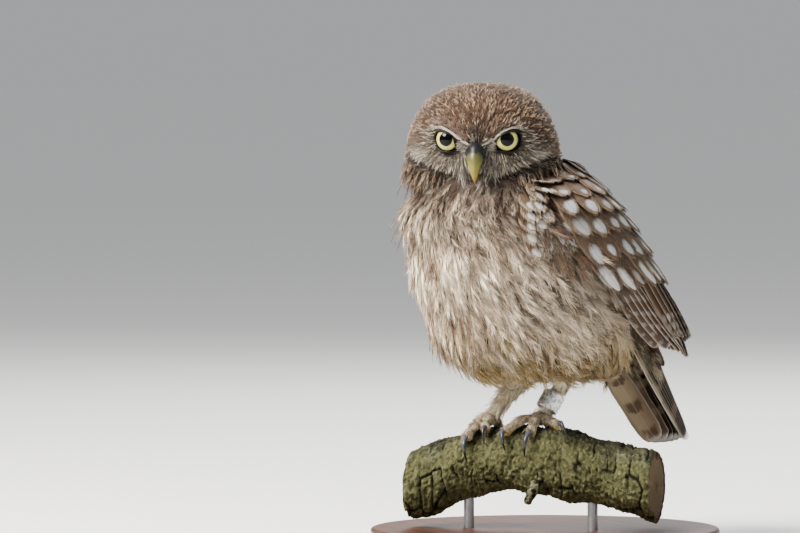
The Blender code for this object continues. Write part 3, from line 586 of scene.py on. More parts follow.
def tail_frame():
    """Down the tail, across it to the owl's left, and out of its upper side."""
    down = np.array([0.0, math.sin(TAIL_SLOPE), -math.cos(TAIL_SLOPE)])
    upper = np.array([0.0, math.cos(TAIL_SLOPE), math.sin(TAIL_SLOPE)])
    across = np.array([math.cos(TAIL_ROLL), 0.0, 0.0]) + upper * math.sin(TAIL_ROLL)
    return down, across, -np.cross(down, across)


def tail_place(along, aside, above):
    """A point on the tail: along runs 0 to 1 from root to tip, the others are millimetres."""
    down, across, upper = tail_frame()
    root = TAIL_TIP - down * TAIL_LENGTH
    along, aside, above = (np.asarray(v, float)[..., None] for v in (along, aside, above))
    return root + along * TAIL_LENGTH * down + aside * across + above * upper


def tube_rings(path, radii, around, flat=1.0, side=None):
    """Rings of the given radii about a path. flat squashes them across the side direction."""
    path, radii = np.asarray(path, float), np.asarray(radii, float)
    heading = unit(np.gradient(path, axis=0))
    side = np.broadcast_to(UP if side is None else side, path.shape)
    across = unit(np.cross(heading, side))
    over = np.cross(across, heading)
    turn = circle(around)[None, :, None]
    wide = radii[:, None, None] * np.cos(turn) * across[:, None]
    return path[:, None] + wide + radii[:, None, None] * flat * np.sin(turn) * over[:, None]


# %% [markdown]
# A bird under its feathers is one skin, so the trunk, head, wings, tail root and legs are laid
# over one another as plain closed lofts and then melted into one surface by Blender's voxel
# remesh. That leaves no seam anywhere. A few rounds of smoothing take the steps off it.

# %% Skin
VOXEL = 1.4
SMOOTHING = 6


def wing_core(side):
    """The fleshy arm under the wing feathers: the wing's surface sunk a little, made thick."""
    s, t = np.linspace(0.0, 0.93, 40)[:, None], np.linspace(0.03, 0.97, 24)[None]
    point, normal = wing_frame(s + 0 * t, t + 0 * s)
    edge = np.sin(math.pi * np.clip(t, 0.04, 0.96))[..., None] ** 0.35
    outer = point - normal * CORE_SINK
    inner = outer - normal * along_rows(WING_THICK, s * 7) * edge
    return np.concatenate([outer, inner[:, ::-1]], axis=1) * np.array([side, 1.0, 1.0])


def tail_core():
    part = np.linspace(0, 0.42, 12)[:, None]
    turn = circle(40)
    wide = (6.6 + 5.0 * part / 0.42) * np.sign(np.cos(turn)) * np.abs(np.cos(turn)) ** 0.8
    return tail_place(part + 0 * turn, wide, (9.0 - 3.4 * part / 0.42) * np.sin(turn))


def leg_core(side):
    """The shank, and on up into the belly as the thigh."""
    low, high = LEG[side]
    part = np.linspace(-0.06, 1.3, 24)
    radii = along_rows(LEG_SKIN[side][:, None], part / 1.3 * 5)[:, 0]
    return tube_rings(low + (high - low) * part[:, None], radii, 24)


def melted(name, lofts, voxel, rounds):
    """One smooth closed surface over overlapping closed lofts."""
    points, faces, start = [], [], 0
    for rings in lofts:
        points.append(ring_points(rings))
        faces += [group + start for group in ring_faces(*rings.shape[:2])]
        start += len(points[-1])
    quads = np.concatenate([group for group in faces if group.shape[1] == 4])
    tris = np.concatenate([group for group in faces if group.shape[1] == 3])
    piece = mesh_piece(name, np.vstack(points), [quads, tris])
    remesh = piece.modifiers.new("Remesh", "REMESH")
    remesh.mode, remesh.voxel_size, remesh.use_smooth_shade = "VOXEL", voxel * MM, True
    smooth = piece.modifiers.new("Smooth", "SMOOTH")
    smooth.factor, smooth.iterations = 0.5, rounds
    graph = bpy.context.evaluated_depsgraph_get()
    made = bpy.data.meshes.new_from_object(piece.evaluated_get(graph))
    piece.modifiers.clear()
    piece.data = made
    return piece


skin_lofts = {
    "trunk": trunk_rings(80, 140), "head": from_head(head_rings(80, 150, HEAD_COAT)),
    "wing_left": wing_core(1.0), "wing_right": wing_core(-1.0), "tail": tail_core(),
    "leg_left": leg_core("left"), "leg_right": leg_core("right")
}
skin = melted("skin", skin_lofts.values(), VOXEL, SMOOTHING)
print("skin", len(skin.data.polygons), "faces")

# %% [markdown]
# Every later step asks the same questions of a place on the skin: which part of the bird is it,
# which way do feathers lie there, and what colours have they? A nearest-point search against the
# lofts answers the first. The others are sums of smooth masks in the owl's and the head's frames.

# %% Parts of the skin
def mesh_arrays(piece):
    """Points in millimetres, point normals and triangles of a mesh object."""
    mesh = piece.data
    mesh.calc_loop_triangles()
    points, normals = np.empty((2, len(mesh.vertices) * 3), np.float32)
    mesh.vertices.foreach_get("co", points)
    mesh.vertices.foreach_get("normal", normals)
    tris = np.empty(len(mesh.loop_triangles) * 3, np.int32)
    mesh.loop_triangles.foreach_get("vertices", tris)
    return points.reshape(-1, 3) / MM, normals.reshape(-1, 3), tris.reshape(-1, 3)


skin_points, skin_normals, skin_tris = mesh_arrays(skin)
PARTS = list(skin_lofts)
loft_points = np.vstack([rings.reshape(-1, 3) for rings in skin_lofts.values()])
loft_parts = np.repeat(np.arange(len(PARTS)), [rings.size // 3 for rings in skin_lofts.values()])
tree = search_tree(loft_points)
skin_part = loft_parts[[tree.find(point)[1] for point in skin_points]]
print("points of the skin by part:", dict(zip(PARTS, np.bincount(skin_part))))

# %% Lie of the plumage
EYE_PLACES = np.array(
    [[side * EYE_SPREAD, -EYE_DEPTH - EYE_RADIUS, EYE_HEIGHT] for _, side in SIDES]
)
BILL_ROOT = np.array([0.0, -34.0, 184.0])


def onto_skin(ways, normals):
    """The ways laid flat on the skin: their share along the normal is taken out."""
    return unit(ways - np.sum(ways * normals, axis=-1, keepdims=True) * normals)


def head_masks(q):
    """Masks over the head from places in its own frame."""
    front = soft(-4.0, -9.0, q[:, 1])
    over_rim = over_disc(q)
    below_brow = soft(0.8, -0.5, over_brow(q))
    face = front * soft(-0.8, 0.4, over_rim) * soft(33.0, 30.5, np.abs(q[:, 0])) * below_brow
    return front, over_rim, face


def head_lie(q, normals):
    """Away from the bill over the crown, down the nape, and away from bill and eyes in the face."""
    away = unit(q - BILL_ROOT)
    down = soft(0.0, 26.0, q[:, 1])[:, None]
    ways = away * (1 - down) + np.array([0.0, 0.25, -1.0]) * down
    _, _, face = head_masks(q)
    eye = EYE_PLACES[(q[:, 0] < 0).astype(int)]
    near = bump(np.linalg.norm(q - eye, axis=1) - 6.0, 3.5)[:, None]
    faced = (
        unit(q - eye) * (0.75 + 0.6 * near) + away * 0.5 * (1 - near) + np.array([0.0, 0.0, -0.2])
    )
    ways = ways * (1 - face[:, None]) + faced * face[:, None]
    under = soft(176.0, 168.0, q[:, 2])[:, None]
    ways = ways * (1 - under) + (away * 0.45 + np.array([0.0, 0.0, -0.9])) * under
    return onto_skin(ways, normals)


def body_lie(points, normals):
    """Down and back over the body, spreading from the middle of the breast."""
    x, y, z = points.T
    ways = np.stack([0.012 * x, 0.42 + 0 * x, -0.9 + 0 * x], axis=-1)
    flank = (soft(24.0, 38.0, np.abs(x)) * soft(150.0, 125.0, z))[:, None]
    ways = ways * (1 - flank) + np.array([0.0, 0.75, -0.66]) * flank
    belly = soft(92.0, 78.0, z)[:, None]
    ways = ways * (1 - belly) + np.array([0.0, 0.8, -0.5]) * belly
    shelf = (soft(0.25, 0.6, normals[:, 2]) * soft(148.0, 156.0, z) * soft(6.0, -6.0, y))[:, None]
    ways = ways * (1 - shelf) + (normals * np.array([0.9, 0.9, 0.0]) - 0.4 * UP) * shelf
    return onto_skin(ways, normals)


def lie(points, normals, parts, wander, seed):
    """The way that feathers point, turned a little by slow noise and by chance."""
    ways = body_lie(points, normals)
    is_head = parts == PARTS.index("head")
    if is_head.any():
        q, n = to_head(points[is_head]), normals[is_head] @ head_turning
        ways[is_head] = head_lie(q, n) @ head_turning.T
    for side in ("left", "right"):
        is_leg = parts == PARTS.index(f"leg_{side}")
        shank = unit(LEG[side][0] - LEG[side][1])
        low = soft(84.0, 72.0, points[:, 2])[:, None] * is_leg[:, None]
        ways = ways * (1 - low) + onto_skin(shank + 0 * ways, normals) * low
    is_tail = (parts == PARTS.index("tail"))[:, None]
    ways = np.where(is_tail, onto_skin(tail_frame()[0] + 0 * ways, normals), ways)
    chance = np.random.default_rng(seed).normal(0.0, 1.0, len(points))
    turn = wander * (0.7 * noise(points, 13.0, seed) + 0.5 * chance)
    aside = np.cross(normals, ways)
    return unit(ways * np.cos(turn)[:, None] + aside * np.sin(turn)[:, None])


# %% Colours of the plumage
CROWN, CROWN_FLECK, CROWN_DARK = linear("6f5744"), linear("b7a186"), linear("412f24")
CROWN_WARM = linear("8c6246")
FACE, FACE_PALE, FACE_DARK = linear("837767"), linear("dad1c2"), linear("45382d")
CREAM, BUFF, GREY_DOWN_AND_SHADE = linear("fae9d0"), linear("a18b5e"), linear("86786a")
STREAK, COLLAR, VENT = linear("74543b"), linear("503929"), linear("aa9d85")
BACK, SHANK = linear("6d5645"), linear("efe2c8")
TRUNK_MIDDLE = 16.0


def around_body(points, folded=True):
    """Degrees round the trunk from its front, counted upwards on both sides if folded."""
    x = np.abs(points[:, 0]) if folded else points[:, 0]
    return np.degrees(np.arctan2(x, -(points[:, 1] + TRUNK_MIDDLE)))


def ground_colours(points, parts):
    """For places on the skin: the ground colour of a feather, the colour of the streak along its
    shaft and how strong that streak is."""
    z, around = points[:, 2], around_body(points)
    patchy = layered(points, 16.0, 2, 5)
    fine = noise(points, 6.0, 9)
    ground = blend(CREAM, BUFF, soft(126.0, 90.0, z + 4 * patchy))
    # Partly painted shade: the flanks turn grey, the down's own grey made darker as the shade on
    # the sides that turn from the light.
    grey = soft(28, 66, around) * soft(98.0, 125.0, z) * 0.85
    ground = blend(ground, GREY_DOWN_AND_SHADE, np.clip(grey + 0.15 * patchy, 0, 1))
    strength = 1.1 * soft(60, 36, around) * soft(82.0, 108.0, z) + 0.16
    strength = strength + 0.75 * soft(56, 68, around) * soft(134.0, 144.0, z)
    clump = noise(points * np.array([1.0, 1.0, 0.55]), 4.6, 19)
    strength = strength * np.clip(0.55 + 2.3 * clump + 0.6 * fine, 0.0, 1.4)
    streak = blend(STREAK, COLLAR, soft(140.0, 160.0, z))
    shoulder = np.clip(soft(46, 62, around) * soft(132.0, 146.0, z) * (0.75 + 0.5 * fine), 0, 1)
    ground = blend(ground, CROWN, 0.75 * shoulder)
    collar = np.clip(soft(152.0, 162.0, z + 6 * patchy) * (0.85 - 0.9 * fine), 0, 1)
    ground = blend(ground, COLLAR, 0.95 * collar)
    back = np.clip(soft(96, 122, around) * soft(106.0, 126.0, z), 0, 1)
    ground, streak = blend(ground, BACK, back), blend(streak, COLLAR, back)
    is_leg = (parts >= PARTS.index("leg_left")) * soft(82.0, 76.0, z)
    ground, strength = blend(ground, SHANK, is_leg), strength * (1 - is_leg)
    is_tail = (parts == PARTS.index("tail")).astype(float)
    above = (points - TAIL_TIP) @ tail_frame()[2]
    ground = blend(ground, blend(VENT, BACK * 0.6, soft(-2.0, 1.5, above)), is_tail)
    strength = strength * (1 - is_tail)
    is_head = (parts == PARTS.index("head")).astype(float)
    q = to_head(points)
    front, over_rim, face = head_masks(q)
    side = np.abs(q[:, 0])
    speck = noise(points, 1.3, 15)
    dark = np.clip(0.35 * patchy + 0.5 * speck, 0, 1)
    head = blend(np.broadcast_to(CROWN, points.shape), CROWN_DARK, dark)
    warm = bump(np.hypot(side, (q[:, 2] - 196.0) * 0.8), 12.0) * front
    head = blend(head, CROWN_WARM, 0.3 * warm)
    vee = front * bump(side, 8.0) * soft(206.0, 191.0, q[:, 2])
    head = blend(head, CROWN_DARK * 0.6, 0.95 * vee)
    edge = front * bump(over_rim + 1.6, 2.3)
    edge = edge + 0.5 * soft(0.0, -3.0, over_rim) * soft(6.0, -4.0, q[:, 1])
    head = blend(head, COLLAR * 0.45, np.clip(edge, 0, 1))
    pale = bump(np.hypot(side - 28.5, (q[:, 2] - 183.0) * 1.3), 4.2)
    lores = bump(np.hypot(side - 8.5, (q[:, 2] - 180.0) * 0.6), 5.5)
    around_eye = bump(np.hypot(side - EYE_SPREAD, q[:, 2] - EYE_HEIGHT) - 7.0, 1.2)
    face_colour = blend(FACE, FACE_DARK, np.clip(0.1 + 0.55 * speck + 0.3 * patchy, 0, 0.7))
    face_colour = blend(face_colour, FACE_PALE, np.clip(0.9 * pale + 0.4 * lores, 0, 1))
    face_colour = blend(face_colour, FACE_DARK, np.clip(0.75 * around_eye, 0, 1))
    outer = soft(17.0, 27.0, side) * soft(184.0, 190.0, q[:, 2])
    face_colour = blend(face_colour, FACE_DARK, 0.5 * soft(178.0, 170.0, q[:, 2]))
    face_colour = blend(face_colour, CROWN, 0.65 * outer)
    # Painted shade: the face darkens towards the head's left side, which is turned from the key
    # light.
    face_colour = face_colour * (1 - 0.24 * soft(14.0, 26.0, q[:, 0]))[:, None]
    head = blend(head, face_colour, face)
    brow = front * bump(over_brow(q) - 0.3, 0.7) * soft(21, 15, side)
    head = blend(head, FACE_PALE, 0.8 * brow)
    fleck = np.clip(0.42 + 1.15 * noise(points, 2.2, 17), 0, 1)
    fleck = fleck * (1 - 0.8 * face) * (1 - brow) * (1 - 0.95 * vee)
    ground = blend(ground, head, is_head)
    streak = blend(streak, blend(CROWN_FLECK + 0 * head, FACE_DARK, face), is_head)
    strength = strength * (1 - is_head) + fleck * is_head
    return ground, streak, np.clip(strength, 0, 1)


# Painted shade: the bare skin takes the feathers' ground colour darkened to under a third, so that
# it reads as the shade deep in the coat between strands; on the shanks it is darkened less.
skin_ground, _, _ = ground_colours(skin_points, skin_part)
on_shank = (skin_part >= PARTS.index("leg_left")) * soft(84.0, 78.0, skin_points[:, 2])
colour_points(skin.data, skin_ground * (0.28 + 0.42 * on_shank)[:, None])

# %% Finishes of skin and coat
def plumage_finish(name, roughness, grain):
    """Markings come from the colour of each point, and fine noise breaks them up."""
    made = Finish(name, Roughness=roughness, Specular_IOR_Level=0.25, Sheen_Weight=0.15)
    fine = made.noise(made.place(), grain, 2.0)
    colour = made.value("colour", "Color")
    shade = made.node("ShaderNodeMapRange", {}, {"Value": fine, "To Min": 0.82, "To Max": 1.18})
    grey = made.node("ShaderNodeCombineColor", {}, {0: shade, 1: shade, 2: shade})
    return made.feed("Base Color", made.mix(1.0, colour, grey, "MULTIPLY")).material


skin_finish = plumage_finish("skin_down", 0.9, 900.0)
coat_finish = plumage_finish("soft_plumage", 0.72, 700.0)
skin.data.materials.append(skin_finish)
dress(skin, "down", "torso", "neck", "head", "leg_left", "leg_right")

# %% [markdown]
# A small body feather is a thin curved shaft with soft barbs on both sides, each sweeping forward
# to the feather's edge. Both are made as slim three-sided spikes, so that the coat is real mesh.
# All the feathers of a region are worked out at once, as arrays with an axis for the feathers, one
# for the barbs and one for the places along each barb.

# %% Strands
# How much of the unwrapped skin one strand takes, how far back the middle of the body's unwrapping
# lies, and which heights of body and head stand for 1
PATCH = 0.003
UNWRAP_MIDDLE, UNWRAP_BODY, UNWRAP_HEAD = 14.0, 150.0, 60.0


def strand_mesh(name, paths, radii, ups, colours, roots, flat=0.55):
    """Three-sided spikes along paths, closed at the root and brought to a point at the tip.

    paths is strands by places, radii has one number for each place but the last, colours is
    strands by places, ups is the way off the skin, and roots is each strand's place on the
    unwrapped skin."""
    count, places = paths.shape[:2]
    heading = unit(np.gradient(paths, axis=1))[:, :-1]
    across = unit(np.cross(heading, ups[:, None]))
    over = np.cross(across, heading)
    turn = np.radians([90.0, 210.0, 330.0])
    wide = np.cos(turn)[None, None, :, None] * across[:, :, None]
    tall = flat * np.sin(turn)[None, None, :, None] * over[:, :, None]
    rings = paths[:, :-1, None] + radii[..., None, None] * (wide + tall)
    rings = rings.reshape(count, -1, 3)
    points = np.concatenate([rings, paths[:, -1:]], axis=1)
    faces = [[0, 2, 1]]
    for low in range(0, 3 * (places - 2), 3):
        for a, b in ((0, 1), (1, 2), (2, 0)):
            faces += [[low + a, low + b, low + 3 + b], [low + a, low + 3 + b, low + 3 + a]]
    top = 3 * (places - 2)
    faces += [[top + a, top + b, top + 3] for a, b in ((0, 1), (1, 2), (2, 0))]
    each = points.shape[1]
    index = np.array(faces)[None] + (np.arange(count) * each)[:, None, None]
    tint = np.repeat(colours[:, :-1], 3, axis=1)
    tint = np.concatenate([tint, colours[:, -1:]], axis=1)
    low, high = roots.min(0), roots.max(0)
    spread = PATCH + (1 - 2 * PATCH) * (roots - low) / np.maximum(high - low, 1e-6)
    patch_u = np.append(np.tile([-0.5, 0.5, 0.0], places - 1), 0.0)
    patch_v = np.append(np.repeat(np.linspace(-0.5, 0.3, places - 1), 3), 0.5)
    pairs = spread[:, None] + PATCH * np.stack([patch_u, patch_v], axis=-1)
    return mesh_piece(
        name, points.reshape(-1, 3), index.reshape(-1, 3), coat_finish,
        colours=tint.reshape(-1, 3), uvs={"OFBake": pairs.reshape(-1, 2)}
    )


def unwrap_body(points):
    """The skin of the body rolled flat: the angle about its upright middle, and the height."""
    turn = np.arctan2(points[..., 0], -(points[..., 1] + UNWRAP_MIDDLE)) / math.tau
    return np.stack([turn, points[..., 2] / UNWRAP_BODY], axis=-1)


def unwrap_head(points):
    """The skin of the head rolled flat: the angle about its own middle, and the height."""
    q = to_head(points)
    return np.stack(
        [np.arctan2(q[..., 0], -q[..., 1]) / math.tau, q[..., 2] / UNWRAP_HEAD], axis=-1
    )


# %% Roots of the feathers
DRAWN_PER_KEPT = 5


def scatter(parts, spacing, keep, seed):
    """Roots on the skin of these parts: many places by area, then one for each cube of this
    size, so that they lie about evenly. keep gives the share that stays, from their places."""
    draw = np.random.default_rng(seed)
    wanted = np.isin(skin_part[skin_tris[:, 0]], [PARTS.index(part) for part in parts])
    tris = skin_tris[wanted]
    a, b, c = (skin_points[tris[:, k]] for k in range(3))
    area = 0.5 * np.linalg.norm(np.cross(b - a, c - a), axis=1)
    many = int(area.sum() / spacing**2 * DRAWN_PER_KEPT)
    reach = np.cumsum(area, dtype=float)
    chosen = np.searchsorted(reach, draw.uniform(0, reach[-1], many))
    share = draw.uniform(size=(many, 2))
    share = np.where(share.sum(1, keepdims=True) > 1, 1 - share, share)
    weights = np.stack([1 - share.sum(1), share[:, 0], share[:, 1]])[..., None]
    places = sum(weights[k] * skin_points[tris[chosen, k]] for k in range(3))
    normals = unit(sum(weights[k] * skin_normals[tris[chosen, k]] for k in range(3)))
    _, first = np.unique(np.floor(places / spacing).astype(int), axis=0, return_index=True)
    places, normals = places[first], normals[first]
    kept = draw.uniform(size=len(first)) < keep(places, normals)
    return places[kept], normals[kept], skin_part[tris[chosen[first[kept]], 0]]


def plumes(roots, normals, ways, shape, ground, streak, strength, seed):
    """The barbs and shafts of soft feathers, as strand paths, radii, ups and colours.

    shape has the feather's length, half width, lift, droop, count of barbs, barb radius and the
    width of its streak. The shaft rises at the lift and droops with the square of the length, and
    a barb from share a of the shaft ends on the feather's rounded outline further on."""
    draw = np.random.default_rng(seed)
    count, barbs = len(roots), shape["barbs"]
    length = shape["length"] * draw.uniform(0.75, 1.2, (count, 1, 1))
    half = shape["half"] * draw.uniform(0.8, 1.2, (count, 1, 1))
    lift = np.tan(shape["lift"] * draw.uniform(0.6, 1.4, (count, 1, 1)))
    sway = draw.normal(0.0, 0.12, (count, 1, 1))
    roll = draw.normal(0.0, 0.22, (count, 1))
    aside = np.cross(normals, ways)
    tipped = aside * np.cos(roll) + normals * np.sin(roll)

    def shaft(share):
        share = np.asarray(share)[..., None]
        rise = length * (lift * share - shape["droop"] * share**2) - 0.6
        ahead = ways[:, None] * length * share + normals[:, None] * rise
        return roots[:, None] + ahead + aside[:, None] * length * sway * share**2

    start = np.linspace(shape.get("bare", 0.2), 0.9, barbs)
    start = start + draw.uniform(-0.05, 0.05, (count, barbs))
    hand = np.where(np.arange(barbs) % 2, 1.0, -1.0)
    further = shape["reach"] * (1.1 - 0.5 * start)
    reach = start + further * draw.uniform(0.7, 1.3, start.shape)
    round_off = np.sqrt(np.clip(1 - ((reach - 0.6) / 0.8) ** 2, 0.03, 1))
    out = (hand * round_off * draw.uniform(0.15, 1.15, start.shape))[..., None] * half
    first, last = shaft(start), shaft(reach) + out * tipped[:, None]
    last = last + draw.normal(0.0, 1.0, last.shape) * shape["stray"]
    elbow = shaft(start + 0.4 * (reach - start)) + 0.62 * out * tipped[:, None]
    middle = 0.25 * first + 0.5 * elbow + 0.25 * last
    paths = np.stack([first, middle, last], axis=2).reshape(-1, 3, 3)
    radius = shape["radius"] * draw.uniform(0.8, 1.25, (len(paths), 1)) * np.array([1.0, 0.85])
    places = np.stack([start, 0.5 * (start + reach), reach], axis=-1)
    sides = np.abs(np.array([0.0, 0.62, 1.0]) * round_off[..., None])
    vary = draw.uniform(0.74, 1.2, (count, barbs, 1, 1))
    vary = vary * draw.uniform(0.78, 1.16, (count, 1, 1, 1))
    mark = strength[:, None, None] * bump(sides, shape["streak"]) * soft(0.05, 0.4, places)
    colours = blend(ground[:, None, None], streak[:, None, None], mark)
    if "tip" in shape:
        tip_colour, tip_share, tip_from = shape["tip"]
        worn = np.clip(draw.uniform(-0.35, 1.25, (count, 1, 1)), 0, 1)
        worn = tip_share * worn * soft(tip_from - 0.1, tip_from + 0.15, places)
        colours = blend(colours, tip_colour, worn)
    colours = colours * vary
    # Painted shade: each barb darkens towards its foot, as the shade deep in the coat.
    painted_root_shade = shape.get("root", 0.45)
    painted_root_shade = painted_root_shade + (1 - painted_root_shade) * soft(0.1, 0.65, places)[..., None]
    colours = np.clip(colours * painted_root_shade, 0, 1).reshape(-1, 3, 3)
    ups = np.repeat(normals, barbs, axis=0)
    return paths, radius, ups, colours

# %% [markdown]
# The coat is laid region by region. The feathers are smallest in the face, short and dense on the
# crown, and long and loose on the breast and flanks. A region with many strands is parted into
# strips round the body, so that no piece grows too heavy to export.

# %% Coat
MOST_STRANDS = 19500


def coat(name, parts, spacing, keep, shape, seed, unwrap=unwrap_body, wander=0.22, slot="down"):
    """Scatters feathers over a region and makes their strands, in as few pieces as the limit on
    one piece allows."""
    roots, normals, part = scatter(parts, spacing, keep, seed)
    ways = lie(roots, normals, part, wander, seed)
    hang = shape.get("hang", 0.0) * soft(0.3, -0.1, normals[:, 2:])
    outward = unit(normals * np.array([1.0, 1.0, 0.0]) + 1e-6) * 0.4
    ways = unit(ways * (1 - hang) + (outward - UP) * hang)
    ground, streak, strength = ground_colours(roots, part)
    draw = np.random.default_rng(seed + 5)
    for colour, share, much in shape.get("tints", []):
        picked = (draw.uniform(size=len(roots)) < share) * much
        ground = blend(ground, colour, picked * draw.uniform(0.6, 1.0, len(roots)))
    order = np.argsort(unwrap(roots)[:, 0])
    pieces = max(1, math.ceil(len(roots) * shape["barbs"] / MOST_STRANDS))
    for number, chosen in enumerate(np.array_split(order, pieces), start=1):
        laid = (v[chosen] for v in (roots, normals, ways))
        tints = (v[chosen] for v in (ground, streak, strength))
        strands = plumes(*laid, shape, *tints, seed + number)
        title = f"{name}_{number}" if pieces > 1 else name
        dress(strand_mesh(title, *strands, unwrap(strands[0][:, 0])), slot)
    print(name, len(roots), "feathers")


def eye_distance(q):
    """How far places of the head's frame are from the nearer eye's middle, seen from in front."""
    return np.hypot(np.abs(q[:, 0]) - EYE_SPREAD, q[:, 2] - EYE_HEIGHT)


def keep_crown(points, _):
    q = to_head(points)
    _, _, face = head_masks(q)
    return (1 - face) * soft(163.0, 166.0, points[:, 2])


def keep_face(points, _):
    """The face, but for the places of the eyes and the bill."""
    q = to_head(points)
    _, over_rim, face = head_masks(q)
    beside = np.abs(q[:, 0]) + 0.8 * np.maximum(q[:, 2] - 184.0, 0)
    bill = soft(3.0, 4.0, beside + 0.6 * np.maximum(176.0 - q[:, 2], 0))
    clear = (eye_distance(q) > 5.8) * np.where(q[:, 2] < 189.0, bill, 1.0)
    return face * clear * soft(2.2, 3.6, over_rim)


def keep_eyes(points, _):
    """A ring of the smallest feathers close round each eye."""
    q = to_head(points)
    away = eye_distance(q)
    return (away > 5.7) * (away < 8.6) * (q[:, 1] < -6.0) * (over_brow(q) < 0)


def keep_bristles(points, _):
    """The stiff hairs that ring the bill and fan out over the cheeks."""
    q = to_head(points)
    away = np.hypot(np.abs(q[:, 0]) - 0.5, (q[:, 2] - 180.5) * 0.62)
    ring = soft(3.4, 4.2, away) * soft(8.6, 6.4, away)
    return (q[:, 1] < -12.0) * ring * (q[:, 2] < 185.0) * (q[:, 2] > 169.5)


def keep_forehead(points, _):
    """Between the brows, down to the root of the bill."""
    q = to_head(points)
    over = over_brow(q)
    return (over > 0.9) * (over < 7.0) * (np.abs(q[:, 0]) < 9.0) * (q[:, 1] < -12.0)


def keep_chin(points, _):
    """The ruff under the disc and the throat, from one ear to the other."""
    q = to_head(points)
    over_rim = over_disc(q)
    return (over_rim < -0.6) * (q[:, 2] > 163.0) * (q[:, 1] < 12.0)


def keep_sides(points, _):
    """Longer feathers at the sides of the ruff, which carry the head's outline into the neck."""
    q = to_head(points)
    over_rim = over_disc(q)
    level = (q[:, 2] < 171.0) * (q[:, 2] > 153.0) * (q[:, 1] < 10.0)
    return soft(14.0, 22.0, np.abs(q[:, 0])) * (over_rim < -3.0) * level


def keep_neck_sides(points, _):
    """The sides of the neck under the ruff, where its feathers stand off and meet the breast."""
    around = around_body(points)
    height = soft(156.0, 160.0, points[:, 2]) * soft(172.0, 168.0, points[:, 2])
    return soft(40.0, 52.0, around) * soft(128.0, 118.0, around) * height * (points[:, 0] < 0.0)


def keep_rim(points, _):
    """The narrow dark edge that frames the lower half of the face."""
    q = to_head(points)
    over_rim = over_disc(q)
    return (np.abs(over_rim + 0.9) < 1.8) * (q[:, 1] < -6.0) * (np.abs(q[:, 0]) < 29.0)


def keep_neck(points, _):
    """The lower back rim of the head, whose feathers run on into the mantle."""
    q = to_head(points)
    return (q[:, 1] > -2.0) * soft(176.0, 171.0, q[:, 2]) * (q[:, 2] > 162.5)


def keep_breast(points, _):
    around = around_body(points)
    share = soft(128, 112, around) * soft(150, 144, points[:, 2]) * soft(92.0, 98.0, points[:, 2])
    return share * (1 - 0.5 * keep_spots(points, None))


def keep_streaks(points, _):
    """Dark narrow feathers in loose rows down the breast, most at its sides."""
    z, around = points[:, 2], around_body(points, folded=False)
    share = soft(88.0, 98.0, z) * soft(164.0, 154.0, z)
    share = share * soft(-96.0, -84.0, around) * soft(74.0, 50.0, around)
    clumped = np.clip(0.5 + 1.6 * noise(points * np.array([1.0, 1.0, 0.4]), 6.0, 29), 0.0, 1.0)
    return share * clumped * (0.7 + 0.3 * soft(20.0, -10.0, around) + 0.5 * soft(136.0, 148.0, z))


def keep_collar(points, _):
    return soft(141.0, 146.0, points[:, 2]) * (1 - 0.55 * keep_spots(points, None))


def wing_edge_gap(points):
    """How far in front of the wing's lower edge a place is, at its own height."""
    order = np.argsort(WING_LOWER[:, 2])
    return np.interp(points[:, 2], WING_LOWER[order, 2], WING_LOWER[order, 1]) - points[:, 1]


def keep_flank(points, _):
    """A band in front of each wing, whose long soft feathers lie over the wing's edge."""
    gap = wing_edge_gap(points)
    beside = (gap > -3.0) * (gap < 13.0) * (np.abs(points[:, 0]) > 24.0)
    return beside * soft(96.0, 102.0, points[:, 2]) * soft(160.0, 156.0, points[:, 2])


def keep_nape(points, _):
    """The sides and back of the neck, where the head's outline runs down into the shoulders."""
    around = around_body(points)
    return soft(158.0, 161.0, points[:, 2]) * soft(22.0, 34.0, around)


def keep_spots(points, _):
    """The soft spotted feathers of each shoulder, in front of the wing."""
    around = around_body(points)
    low = soft(145.0, 150.0, points[:, 2] + 0.2 * (80.0 - around))
    near = np.where(points[:, 0] < 0.0, 82.0, 50.0)
    low = low * soft(172.0, 169.0, points[:, 2])
    return 0.95 * soft(0.0, 7.0, around - near) * low * soft(128.0, 118.0, around)


def keep_belly(points, _):
    return soft(100.0, 94.0, points[:, 2])


def keep_back(points, _):
    around = around_body(points)
    return soft(112, 124, around) * soft(94.0, 98.0, points[:, 2])


def keep_vent(_, normals):
    """The tail's root from below."""
    return soft(0.9, 0.5, normals[:, 1])


def keep_shanks(points, _):
    """The legs down to the feet."""
    return soft(60, 61, points[:, 2])


def feather(length, half, lift, droop, barbs, radius, streak, stray, reach, **more):
    """One kind of soft feather: length, half width, lift of the shaft in degrees, droop, count and
    radius of its barbs, half width of its streak, and how far the barbs stray and reach.

    more may have root, how dark each barb's foot is painted as shade deep in the coat, bare, the
    share of shaft without barbs, hang, how far it hangs down, tip, a colour with its share and
    where it starts, and tints, colours with the share of feathers that take them and how much."""
    sizes = dict(length=length, half=half, lift=math.radians(lift), droop=droop, barbs=barbs)
    return dict(sizes, radius=radius, streak=streak, stray=stray, reach=reach, **more)


CROWN_SHAPE = feather(
    4.0, 0.8, 26, 0.32, 6, 0.12, 0.4, 0.3, 0.55, root=0.25, tip=(linear("cdb598"), 0.75, 0.8),
    tints=[(CROWN_WARM, 0.3, 0.5), (CROWN_DARK, 0.3, 0.6)]
)
FOREHEAD_SHAPE = feather(
    3.2, 0.6, 30, 0.3, 7, 0.12, 0.5, 0.18, 0.55, root=0.4, bare=0.0,
    tip=(linear("9a7f66"), 0.3, 0.85)
)
FACE_SHAPE = feather(
    4.0, 0.5, 20, 0.2, 6, 0.085, 0.5, 0.2, 0.6, root=0.4, bare=0.05,
    tints=[(FACE_PALE, 0.34, 0.8), (FACE_DARK * 0.6, 0.3, 0.75)]
)
BRISTLE_SHAPE = feather(
    8.0, 0.6, 30, 0.3, 5, 0.10, 0.2, 0.2, 0.75, root=0.6, bare=0.0,
    tints=[(FACE_PALE, 0.5, 0.9), (FACE_DARK * 0.5, 0.6, 0.9)]
)
